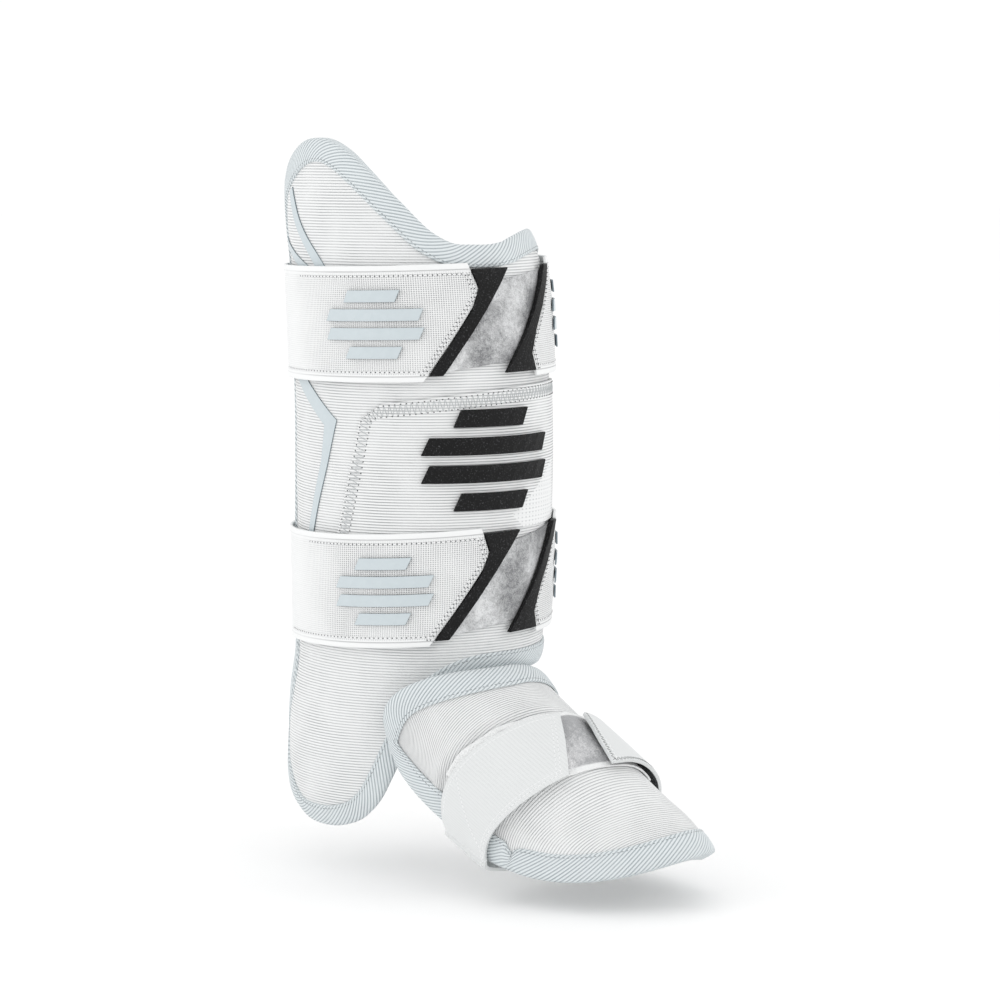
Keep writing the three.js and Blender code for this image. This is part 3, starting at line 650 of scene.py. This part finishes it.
def settle_object(piece, name):
    piece.name = piece.data.name = name
    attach(piece, "root")


def grid_sheet(columns, rows, place, cloth, materials):
    """A grid laid by place(p, q) in millimetres, with cloth(p, q) as its UV map."""
    bpy.ops.mesh.primitive_grid_add(x_subdivisions=columns, y_subdivisions=rows, size=1)
    piece = bpy.context.object
    mesh = piece.data
    corners = np.empty(len(mesh.vertices) * 3)
    mesh.vertices.foreach_get("co", corners)
    p, q = corners.reshape(-1, 3)[:, 0] + 0.5, corners.reshape(-1, 3)[:, 1] + 0.5
    p, q = np.clip(p, 0, 1), np.clip(q, 0, 1)
    mesh.vertices.foreach_set("co", (place(p, q) * MM).ravel())
    uv = mesh.uv_layers.active
    uv.name = "cloth"
    owners = np.empty(len(mesh.loops), np.int32)
    mesh.loops.foreach_get("vertex_index", owners)
    along, across = cloth(p, q)
    uv.data.foreach_set("uv", np.stack([along[owners], across[owners]], -1).ravel())
    for material in materials:
        mesh.materials.append(material)
    mesh.update()
    return piece


def make_active(piece):
    bpy.ops.object.select_all(action="DESELECT")
    piece.select_set(True)
    bpy.context.view_layer.objects.active = piece


def add_modifier(piece, kind, **settings):
    """Adds a modifier with its settings and applies it."""
    make_active(piece)
    modifier = piece.modifiers.new(kind.lower(), kind)
    for name, value in settings.items():
        setattr(modifier, name, value)
    bpy.ops.object.modifier_apply(modifier=modifier.name)


def thicken(piece, wall, round_by=0.0, inner_material=0, rim_material=0):
    """Gives a sheet its wall on its inner side, and rounds its edges."""
    add_modifier(piece, "SOLIDIFY", thickness=wall * MM, offset=-1,
                 material_offset=inner_material, material_offset_rim=rim_material)
    if round_by:
        add_modifier(piece, "BEVEL", width=round_by * MM, segments=2, limit_method="ANGLE",
                     angle_limit=math.radians(SHARP_ANGLE))
    bpy.ops.object.shade_smooth_by_angle(angle=math.radians(SHARP_ANGLE))


def lay_faces(piece, columns, rows, outer, inner):
    """Lays both faces of a thickened grid by their own places, so its folds keep their wall."""
    steps = np.meshgrid(np.linspace(0, 1, columns + 1), np.linspace(0, 1, rows + 1))
    p, q = (step.ravel() for step in steps)
    spots = np.concatenate([outer(p, q), inner(p, q)])
    piece.data.vertices.foreach_set("co", (spots * MM).ravel())
    piece.data.update()


def close_ring(piece):
    """Joins a grid's meeting edges."""
    make_active(piece)
    bpy.ops.object.mode_set(mode="EDIT")
    bpy.ops.mesh.select_all(action="SELECT")
    bpy.ops.mesh.remove_doubles(threshold=1e-5)
    bpy.ops.object.mode_set(mode="OBJECT")


# One stitch of length, width and height 1: a ridge that rises in its middle
STITCH = np.array([(-0.5, -0.3, 0.0), (-0.5, 0.3, 0.0), (-0.5, 0.2, 0.4), (-0.5, -0.2, 0.4),
                   (0.0, -0.5, 0.0), (0.0, 0.5, 0.0), (0.0, 0.35, 1.0), (0.0, -0.35, 1.0),
                   (0.5, -0.3, 0.0), (0.5, 0.3, 0.0), (0.5, 0.2, 0.4), (0.5, -0.2, 0.4)])
STITCH_FACES = np.array([
    (0, 1, 2, 3), (0, 4, 5, 1), (1, 5, 6, 2), (2, 6, 7, 3), (3, 7, 4, 0),
    (4, 8, 9, 5), (5, 9, 10, 6), (6, 10, 11, 7), (7, 11, 8, 4), (11, 10, 9, 8),
])


def sewn(name, body_slot, seams, material, pitch, length, width, height, turned=0.0, offset=0.5):
    """Rows of stitches along seams. A seam is seam(t, lift): spots for t from 0 to 1. Stitches
    lean by turned degrees to one side and the other in turn, and start offset pitches in."""
    corners, faces = [], []
    for seam in seams:
        t = np.linspace(0, 1, 801)
        runs = run_lengths(seam(t, 0.0))
        count = max(2, round(runs[-1] / pitch))
        t = np.interp((np.arange(count) + offset) / count * runs[-1], runs, t)
        spot = seam(t, 0.0)
        way = seam(t + 1e-3, 0.0) - seam(t - 1e-3, 0.0)
        up = seam(t, 1.0) - spot
        up /= np.linalg.norm(up, axis=-1, keepdims=True)
        side = np.cross(up, way)
        side /= np.linalg.norm(side, axis=-1, keepdims=True)
        way = np.cross(side, up)
        angle = np.radians(turned) * np.where(np.arange(count) % 2, 1, -1)[:, None]
        cosine, sine = np.cos(angle), np.sin(angle)
        way, side = way * cosine + side * sine, side * cosine - way * sine
        for n in range(count):
            base = len(corners) * len(STITCH)
            along, across, rise = STITCH.T[:, :, None]
            corners.append(spot[n] + way[n] * along * length + side[n] * across * width
                           + up[n] * (rise * height - STITCH_SINK))
            faces.append(STITCH_FACES + base)
    mesh = bpy.data.meshes.new(name)
    mesh.from_pydata((np.concatenate(corners) * MM).tolist(), [], np.concatenate(faces).tolist())
    mesh.materials.append(material)
    piece = bpy.data.objects.new(name, mesh)
    bpy.context.scene.collection.objects.link(piece)
    settle_object(piece, name)


def straight_seams(row, rows):
    """Seams on a strap, straight in its own coordinates, for row(p, q, lift)."""
    return [
        lambda t, lift, a=a, b=b, c=c, d=d: row(lerp(a, b, t), lerp(c, d, t), lift)
        for a, b, c, d in rows
    ]


# Padded shells

# Swellings: middle height and half height, degrees between which they rise and fall, and rise
FLAP_SWELL = {"heights": (-150, 36), "turns": (-134, -118, -75, -50), "rise": 1.3}
LOBE_SWELL = {"heights": (135, 24), "turns": (-125, -112, -65, -40), "rise": 1.1}

# Creases under the lower strap: middle, half width and depth, and the degrees that they span
STRAP_CREASES = ((-3, 2.6, 0.9), (-8.5, 2.4, 0.5))
CREASE_TURNS = (-118, -104, -72, -55)
SWELL_LEVELS = (0.03, 0.1, 0.9, 0.97)

# Folds behind the foot strap: middle, half width and rise, and the degrees that they span
FOOT_FOLDS = ((13, 8, 1.3), (6, 3.2, -1.0), (10.5, 2.0, -0.5))
FOOT_FOLD_TURNS = (-84, -62, -8, 26)
TOE_SWELL = (34, 30)
TOE_SWELL_TURNS = (55, 85)
FOOT_SWELL_LEVELS = (0.04, 0.12, 0.86, 0.94)
FOOT_RIB_SHIFT = 0.5
FOOT_RUN = 190

def hump(value, middle, half):
    """1 at the middle and 0 further than half from it."""
    return 1 - smooth(np.abs(value - middle), 0, half)


def shin_relief(turn, height, p):
    """How far the padding swells or creases, in millimetres, clear of the tape and the straps."""
    clear = smooth(np.minimum(p, 1 - p), 0.02, 0.09)
    flap, lobe = (
        swell["rise"] * hump(height, *swell["heights"]) * within(turn, *swell["turns"])
        for swell in (FLAP_SWELL, LOBE_SWELL)
    )
    sweep = height + 103 - 0.16 * (turn + 95)
    crease = sum(hump(sweep, middle, half) * deep for middle, half, deep in STRAP_CREASES)
    crease *= within(turn, *CREASE_TURNS)
    wander = 0.22 * np.sin(turn * 0.11 + height * 0.05) * np.sin(height * 0.09 - turn * 0.04)
    return clear * (flap + lobe + wander) - crease


def shin_swell(p, q):
    return shin_relief(*shin_place(p, q), p) * within(q, *SWELL_LEVELS)


def swell_at(turn, height):
    """The swelling at places given by turn and height, read from a fine grid."""
    steps = np.meshgrid(*(np.linspace(0, 1, count) for count in SWELL_GRID))
    p, q = (step.ravel() for step in steps)
    turns, heights = shin_place(p, q)
    swell = shin_swell(p, q)
    off = [np.argmin((turns - a) ** 2 + (heights - b) ** 2) for a, b in zip(turn, height)]
    return swell[off]


def shin_shell():
    def place(p, q):
        return on_shin(*shin_place(p, q), shin_swell(p, q))

    def cloth(p, q):
        turn, height = shin_place(p, q)
        return np.radians(turn) * LEG_HALF_DEPTH, height

    piece = grid_sheet(*SHIN_GRID, place, cloth, [SHELL_KNIT, LINING])
    thicken(piece, PAD_WALL, inner_material=1)
    lay_faces(piece, *SHIN_GRID, place, lambda p, q: shin_sheet(p, q, -PAD_WALL))
    settle_object(piece, "shin_shell")
    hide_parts("shin_pad")


def foot_cloth(turn, q):
    """Ribs that leave the sole's edge and pass over the crown like the strap."""
    over = np.maximum(0, np.cos(np.radians(turn)))
    outward = (1 + np.sin(np.radians(turn))) / 2
    along = np.radians(turn) * TOE_HALF_WIDTH
    return along, FOOT_RUN * (q - FOOT_RIB_SHIFT * over + FOOT_STRAP_TWIST * outward)


def foot_relief(turn, q):
    """Swelling of the toe and the instep, and folds pressed up behind the strap."""
    behind = (q - foot_strap_place(turn, 1.0)) * FOOT_RUN
    ahead = (foot_strap_place(turn, 0.0) - q) * FOOT_RUN
    folds = sum(hump(behind, middle, half) * rise for middle, half, rise in FOOT_FOLDS)
    folds *= within(turn, *FOOT_FOLD_TURNS)
    toe = hump(ahead, *TOE_SWELL) * (1 - smooth(np.abs(turn), *TOE_SWELL_TURNS))
    return (folds + toe) * within(q, *FOOT_SWELL_LEVELS)


def foot_shell():
    def place(p, q):
        turn, level = foot_place(p, q)
        return on_foot(turn, level, foot_relief(turn, level))

    piece = grid_sheet(*FOOT_GRID, place, lambda p, q: foot_cloth(*foot_place(p, q)),
                       [FOOT_KNIT, LINING])
    thicken(piece, FOOT_WALL, inner_material=1)
    lay_faces(piece, *FOOT_GRID, place, lambda p, q: foot_sheet(p, q, -FOOT_WALL))
    settle_object(piece, "foot_shell")
    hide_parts("foot_pad")


# Edge tape

def edge_way(columns, rows, step):
    """Where a walk round a sheet's edge is: along the bottom, up, back along the top and down."""
    lap = 2 * (columns + rows)
    at = np.mod(step, lap)
    p = np.select(
        [at <= columns, at <= columns + rows, at <= 2 * columns + rows],
        [at / columns, np.ones_like(at), 1 - (at - columns - rows) / columns], 0.0)
    q = np.select(
        [at <= columns, at <= columns + rows, at <= 2 * columns + rows],
        [np.zeros_like(at), (at - columns) / rows, np.ones_like(at)],
        1 - (at - 2 * columns - rows) / rows)
    return p, q


def nearest(sheet, spot, p, q):
    """The places on a sheet nearest to the spots, from places close by."""
    step = 1e-3
    p, q = np.minimum(p, 0.998), np.minimum(q, 0.998)
    for _ in range(16):
        here = sheet(p, q)
        way_p = (sheet(p + step, q) - here) / step
        way_q = (sheet(p, q + step) - here) / step
        off = spot - here
        pairs = ((way_p, way_p), (way_q, way_q), (way_p, way_q))
        pp, qq, pq = (np.sum(a * b, -1) for a, b in pairs)
        op, oq = np.sum(off * way_p, -1), np.sum(off * way_q, -1)
        spread = pp * qq - pq * pq
        p = np.clip(p + np.clip((op * qq - oq * pq) / spread, -0.03, 0.03), 0, 0.998)
        q = np.clip(q + np.clip((oq * pp - op * pq) / spread, -0.03, 0.03), 0, 0.998)
    return p, q


def edge_spots(sheet, columns, rows, wall, step, out, off, side):
    """Spots by the edge: out of it, and off the outer face (side 1) or the inner (side 0)."""
    p, q = edge_way(columns, rows, step)
    edge = sheet(p, q)
    normal = sheet(p, q, 1.0) - edge
    ahead, behind = (sheet(*edge_way(columns, rows, step + way)) for way in (1, -1))
    way = np.cross(ahead - behind, normal)
    way /= np.linalg.norm(way, axis=-1, keepdims=True)
    spot = edge + way * out[..., None]
    lift = np.where(side > 0.5, off, -wall - off)
    found = spot + normal * lift[..., None]
    inside = out <= -1
    found[inside] = sheet(*nearest(sheet, spot[inside], p[inside], q[inside]), lift[inside])
    return found


# The tape's section: share of its width in from the edge, height off the face, and its side
TAPE_SECTION = [
    (-1.0, 0.1, 1), (-1.0, 0.9, 1), (-0.95, 1.25, 1), (-0.86, 1.2, 1), (-0.72, 1.5, 1),
    (-0.5, 1.75, 1), (-0.28, 1.8, 1), (-0.13, 1.8, 1), (0.05, 1.45, 1), (0.13, 0.6, 1),
    (0.15, -1.5, 1), (0.15, -3.4, 1), (0.13, 0.6, 0), (0.05, 1.6, 0), (-0.15, 1.9, 0),
    (-0.4, 1.9, 0), (-0.6, 1.7, 0), (-0.6, 0.3, 0), (-0.3, 0.3, 0), (-0.02, -2.0, 0),
    (-0.02, -2.5, 1), (-0.5, 0.2, 1),
]


def edge_tape(name, node, sheet, columns, rows, wall, width, loose, fineness):
    section = np.array(TAPE_SECTION)
    lap = 2 * (columns + rows)

    def corner(q):
        return np.round(q * len(section)).astype(int) % len(section)

    def place(p, q):
        out, off, side = section[corner(q)].T
        step = np.mod(p, 1) * lap
        return edge_spots(sheet, columns, rows, wall, step, out * width, off + loose, side)

    runs = run_lengths(sheet(*edge_way(columns, rows, np.linspace(0, lap, EDGE_STEPS + 1))))
    out, off, side = section.T
    profile = np.stack([out * width, np.where(side > 0.5, off, -wall - off)], -1)
    profile = run_lengths(np.concatenate([profile, profile[:1]]))

    def cloth(p, q):
        along = np.interp(p * EDGE_STEPS, np.arange(EDGE_STEPS + 1), runs)
        return along, np.interp(q * len(section), np.arange(len(profile)), profile)

    piece = grid_sheet(lap * fineness, len(section), place, cloth, [TAPE])
    close_ring(piece)
    bpy.ops.object.shade_smooth_by_angle(angle=math.radians(60))
    settle_object(piece, name)
    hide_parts(node)

    def seam(t, lift):
        out, off = np.full_like(t, -0.86 * width), np.full_like(t, 1.2 + loose + lift)
        return edge_spots(sheet, columns, rows, wall, t * lap, out, off, np.ones_like(t))

    sewn(name + "_stitches", "edge_tape", [seam], GREY_THREAD, **TAPE_STITCH)


# Straps and what lies on the front

def strap_height(strap, turn, level):
    lean = strap["lean"] * np.cos(np.radians(turn - LEAN_TURN))
    return strap["bottom"] + STRAP_WIDTH * level + lean


def on_strap(strap, arc, level, lift):
    turn = FRONT_TURN + arc_turn(arc + strap["shift"])
    return on_shin(turn, strap_height(strap, turn, level), lift)


def tab_end(level):
    """The cut end of the inner tab by level: its tip and its two straight sides."""
    above = lerp(-TAB_TIP, -TAB_TOP_CORNER, (level - TAB_TIP_LEVEL) / (1 - TAB_TIP_LEVEL))
    below = lerp(-TAB_BOTTOM_CORNER, -TAB_TIP, level / TAB_TIP_LEVEL)
    return np.where(level > TAB_TIP_LEVEL, above, below)


def strap_back(arc):
    """1 behind the calf, where the strap sags towards it, and 0 on the pad."""
    return within(arc_turn(arc), *SAG_TURNS)


def strap_arc(p, level):
    lap = LEG_HALF_DEPTH * math.pi * 2
    return lerp(-tab_end(1 - level), lap + tab_end(level), p)


def calf_strap(strap):
    def laid(p, q, lift):
        arc = strap_arc(p, q)
        return on_strap(strap, arc, q, lift - BACK_SAG * strap_back(arc))

    def place(p, q):
        edge = STRAP_WIDTH * np.minimum(q, 1 - q)
        welt = STRAP_WELT * (1 - smooth(edge, *STRAP_WELT_EDGE))
        return laid(p, q, OVER_TAPE + STRAP_THICKNESS - STRAP_WELT + welt)

    def cloth(p, q):
        return strap_arc(p, q), q * STRAP_WIDTH

    piece = grid_sheet(*STRAP_GRID, place, cloth, [WEBBING])
    thicken(piece, STRAP_THICKNESS - STRAP_WELT, STRAP_ROUNDING)
    settle_object(piece, strap["name"] + "_band")
    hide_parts(strap["name"])

    def row(p, q, lift):
        spot = place(p, q)
        up = spot - laid(p, q, OVER_TAPE + STRAP_THICKNESS - STRAP_WELT - 1)
        up /= np.linalg.norm(up, axis=-1, keepdims=True)
        return spot + up * (lift + CALF_ROW_LIFT)

    inset = CALF_ROW_INSET / STRAP_WIDTH
    near, far = CALF_ROW_REACH
    rows = [
        (start, end, level, level)
        for start, end in ((near, far), (1 - far, 1 - near))
        for level in (inset, 1 - inset)
    ]
    rows += [
        (place_on, place_on, inset * 0.7, 1 - inset * 0.7)
        for depth in CALF_END_ROWS
        for place_on in (depth, 1 - depth)
    ]
    seams = straight_seams(row, rows)
    sewn(strap["name"] + "_stitches", "webbing", seams, THREAD, **STRAP_STITCH)
    # Needle holes: dark stitch pieces that paint the shade in the holes.
    sewn(strap["name"] + "_needle_holes", "webbing", seams, DARK_THREAD_AND_HOLE_SHADE, **STRAP_HOLE)


def loop_field(strap):
    slant = FIELD_SLANT / STRAP_WIDTH / 2
    inset = FIELD_INSET / STRAP_WIDTH

    def place(p, q):
        rise = lerp(-slant, slant, p)
        below, above = lerp(inset + rise, 0.5, q * 2), lerp(0.5, 1 - inset + rise, q * 2 - 1)
        level = np.where(q < 0.5, below, above)
        return on_strap(strap, lerp(-FIELD_REACH, FIELD_REACH, p), level, FIT_GAP + FIELD_THICKNESS)

    name = strap["name"] + "_pile"
    piece = grid_sheet(*FIELD_GRID, place, lambda p, q: (p * 2 * FIELD_REACH, q * STRAP_WIDTH),
                       [PILE])
    thicken(piece, FIELD_THICKNESS, CLOTH_ROUNDING)
    settle_object(piece, name)
    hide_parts(strap["name"] + "_loop_field")


def front_panel():
    def spot(p, q):
        cut = PANEL_CORNER_TURN * np.maximum(0, (q - PANEL_CORNER_FROM) / (1 - PANEL_CORNER_FROM))
        ends = zip(PANEL_BOTTOM_TURNS, PANEL_TOP_TURNS)
        inner, outer = (lerp(low, high, q) for low, high in ends)
        turn = lerp(inner + cut, outer - cut, p)
        bottom = strap_height(LOWER_STRAP, turn, 1) - PANEL_UNDER_STRAP
        drop = PANEL_DROP * (1 - np.cos(np.radians(turn)))
        return turn, lerp(bottom, PANEL_TOP + PANEL_LEAN * np.sin(np.radians(turn)) - drop, q)

    def cloth(p, q):
        turn, height = spot(p, q)
        return np.radians(turn) * LEG_HALF_DEPTH, height

    piece = grid_sheet(*PANEL_GRID, lambda p, q: on_shin(*spot(p, q), SKIN_GAP + PANEL_THICKNESS),
                       cloth, [PANEL_KNIT])
    thicken(piece, PANEL_THICKNESS, CLOTH_ROUNDING)
    settle_object(piece, "front_panel_cover")
    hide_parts("front_panel")

    def border(inset):
        top = 1 - 2.3 * inset

        def seam(t, lift):
            p = np.interp(t, (0, 0.2, 0.8, 1), (inset, inset, 1 - inset, 1 - inset))
            q = np.interp(t, (0, 0.2, 0.8, 1), (0, top, top, 0))
            return on_shin(*spot(p, q), SKIN_GAP + PANEL_THICKNESS + lift)

        return seam

    # The zigzag's grey thread carries painted shade for the pressed valleys between its stitches.
    sewn("front_panel_zigzag", "panel_mesh", [border(0.026)], ZIGZAG_THREAD_AND_SHADE, **PANEL_ZIGZAG)
    # Needle holes: dark stitch pieces that paint the shade in the holes.
    sewn("front_panel_needle_holes", "panel_mesh", [border(0.044), border(0.008)], DARK_THREAD_AND_HOLE_SHADE,
         **PANEL_HOLE)


def film_stripe(name, line):
    """A stripe along a middle line, with mitred bends and its own width at each of them."""
    turns, levels, widths = np.array(line).T
    spots = np.stack([np.radians(turns) * LEG_HALF_DEPTH, levels * LOBE_TOP], -1)
    runs = len(line) - 1
    ways = np.diff(spots, axis=0)
    ways /= np.linalg.norm(ways, axis=-1, keepdims=True)
    before, after = np.vstack([ways[:1], ways]), np.vstack([ways, ways[-1:]])
    way = before + after
    way /= np.linalg.norm(way, axis=-1, keepdims=True)
    reach = widths / 2 / np.sum(way * before, -1)
    across = np.stack([way[:, 1], -way[:, 0]], -1) * reach[:, None]

    def flat(p, q):
        i = np.minimum(np.floor(q * runs + 1e-6).astype(int), runs - 1)
        t = (q * runs - i)[:, None]
        middle, aside = lerp(spots[i], spots[i + 1], t), lerp(across[i], across[i + 1], t)
        return middle + aside * (2 * p - 1)[:, None]

    def place(p, q):
        x, height = flat(p, q).T
        turn = arc_turn(x)
        return on_shin(turn, height, FIT_GAP * 0.4 + FILM_THICKNESS + swell_at(turn, height))

    piece = grid_sheet(6, runs * 16, place, lambda p, q: tuple(flat(p, q).T), [FILM, FILM_SHADE])
    thicken(piece, FILM_THICKNESS, rim_material=1)
    settle_object(piece, name + "_film")
    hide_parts(name)


# Foot strap and its loop field

def foot_strap_place(turn, level):
    over = np.maximum(0, np.cos(np.radians(turn)))
    front, rear = lerp(*FOOT_STRAP_FRONT, over), lerp(*FOOT_STRAP_REAR, over)
    outward = (1 + np.sin(np.radians(turn))) / 2
    return lerp(front, rear, level) - FOOT_STRAP_TWIST * outward


def foot_strap():
    def turn_of(p, q):
        tab, flap = (np.interp(q, (0, 0.5, 1), ends) for ends in (FOOT_STRAP_TAB, FOOT_STRAP_FLAP))
        return lerp(flap - 360, tab, p)

    def row(p, q, lift=0.0):
        turn = turn_of(p, q)
        high = OVER_TAPE + FOOT_STRAP_LIFT + FOOT_STRAP_THICKNESS + lift
        return on_foot(turn, foot_strap_place(turn, q), high)

    def cloth(p, q):
        return np.radians(turn_of(p, q)) * FOOT_STRAP_RADIUS, q * FOOT_STRAP_WIDTH

    piece = grid_sheet(*FOOT_STRAP_GRID, row, cloth, [FOOT_WEBBING, HOOKS_AND_SHADE])
    thicken(piece, FOOT_STRAP_THICKNESS, FOOT_STRAP_ROUNDING, inner_material=1)
    settle_object(piece, "foot_strap_band")
    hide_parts("foot_strap")

    seams = straight_seams(row, FOOT_STRAP_ROWS)
    flap_edge = straight_seams(row, FOOT_FLAP_ROWS)
    sewn("foot_strap_stitches", "webbing", seams, THREAD, **FOOT_STITCH)
    # Needle holes: pale grey stitch pieces that paint the shade in the holes.
    sewn("foot_strap_needle_holes", "webbing", seams[:1] + seams[3:], SOFT_HOLE_SHADE, **FOOT_HOLE)
    sewn("foot_flap_zigzag", "webbing", flap_edge, DARK_THREAD_AND_HOLE_SHADE, **FLAP_ZIGZAG)


def foot_pile():
    def place(p, q):
        turn = lerp(*FOOT_FIELD_TURNS, p)
        ruffle = 0.012 * np.sin(turn * 0.35) * q ** 8
        level = lerp(*FOOT_FIELD_LEVELS, q) + ruffle
        return on_foot(turn, foot_strap_place(turn, level), FIT_GAP + FIELD_THICKNESS)

    length, width = FOOT_PILE_SIZE
    piece = grid_sheet(*FIELD_GRID, place, lambda p, q: (p * length, q * width), [FOOT_PILE])
    thicken(piece, FIELD_THICKNESS, CLOTH_ROUNDING)
    settle_object(piece, "foot_pile")
    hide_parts("foot_loop_field")


def dress_node(name, material, round_by=0.0, side_material=None):
    """A node that keeps its own shape, with its edges rounded by live modifiers. Faces that look
    away from the leg take the first material, and the others the side's where one is given."""
    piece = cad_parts[name]
    piece.data.materials.clear()
    piece.data.materials.append(material)
    if side_material:
        piece.data.materials.append(side_material)
        middle = sum((Vector(corner) for corner in piece.bound_box), Vector()) / 8
        out = Vector((middle.x, middle.y, 0)).normalized()
        for face in piece.data.polygons:
            face.material_index = 0 if face.normal.dot(out) > 0.6 else 1
    piece.modifiers.new("weld", "WELD").merge_threshold = 1e-6
    if round_by:
        bevel = piece.modifiers.new("bevel", "BEVEL")
        bevel.width = round_by * MM
        bevel.segments = 3
        bevel.limit_method = "ANGLE"
        bevel.angle_limit = math.radians(40)


shin_shell()
foot_shell()
edge_tape("shin_binding", "shin_tape", shin_sheet, columns=34, rows=13,
          wall=PAD_WALL, width=SHIN_TAPE_WIDTH, loose=0, fineness=7)
edge_tape("foot_binding", "foot_tape", foot_sheet, columns=26, rows=9,
          wall=FOOT_WALL, width=FOOT_TAPE_WIDTH, loose=0.3, fineness=7)
front_panel()
for stripe_name, stripe_line in STRIPES.items():
    film_stripe(stripe_name, stripe_line)
for calf in (UPPER_STRAP, LOWER_STRAP):
    calf_strap(calf)
    loop_field(calf)
foot_strap()
foot_pile()
for node_name in sorted(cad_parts):
    if "trim" in node_name:
        dress_node(node_name, RUBBER, TRIM_ROUNDING)
    elif node_name.startswith("front_badge"):
        dress_node(node_name, RUBBER, BADGE_ROUNDING)
    elif "badge" in node_name:
        dress_node(node_name, FILM, TAB_BADGE_ROUNDING, FILM_SHADE)
    elif node_name == "instep_web":
        dress_node(node_name, WEBBING)


# Floor, light and camera

def stand_facing(name, data, azimuth, elevation, distance, target):
    """Stands a lamp or a camera at a distance from a point, turned to that point."""
    a, e = math.radians(azimuth), math.radians(elevation)
    back = Vector((math.sin(a) * math.cos(e), -math.cos(a) * math.cos(e), math.sin(e)))
    thing = bpy.data.objects.new(name, data)
    thing.location = target + back * distance
    thing.rotation_euler = (-back).to_track_quat("-Z", "Y").to_euler()
    bpy.context.scene.collection.objects.link(thing)
    return thing


def studio():
    low, _ = cad_bounds
    bpy.ops.mesh.primitive_plane_add(size=FLOOR_SIZE, location=(0, 0, low.z - FLOOR_GAP))
    floor = bpy.context.object
    floor.name = "floor"
    paper, tree, shader = new_material("matt_paper", Roughness=0.95)
    colour = mix(tree, noise_of(tree, 0.5), linear("ffffff"), linear("fefefe"))
    tree.links.new(colour, shader.inputs["Base Color"])
    floor.data.materials.append(paper)
    world = bpy.data.worlds.new("soft_white_room")
    world.use_nodes = True
    backdrop = world.node_tree.nodes["Background"]
    backdrop.inputs["Color"].default_value = linear("ffffff")
    backdrop.inputs["Strength"].default_value = BACKDROP_STRENGTH
    bpy.context.scene.world = world
    for box in SOFTBOXES:
        light = bpy.data.lights.new(box["name"], "AREA")
        light.size = box["size"]
        light.energy = box["power"]
        stand_facing(box["name"], light, box["azimuth"], box["elevation"], box["distance"], Vector())
    bpy.context.scene.view_settings.view_transform = "Standard"


def camera():
    lens = bpy.data.cameras.new("camera")
    lens.lens = CAMERA_LENS
    lens.sensor_width = CAMERA_SENSOR
    lens.clip_start = CAMERA_CLIP
    bpy.context.scene.camera = stand_facing(
        "camera", lens, CAMERA_AZIMUTH, CAMERA_ELEVATION, CAMERA_DISTANCE, CAMERA_TARGET)


studio()
camera()
bpy.ops.object.select_all(action="DESELECT")
bpy.context.view_layer.update()
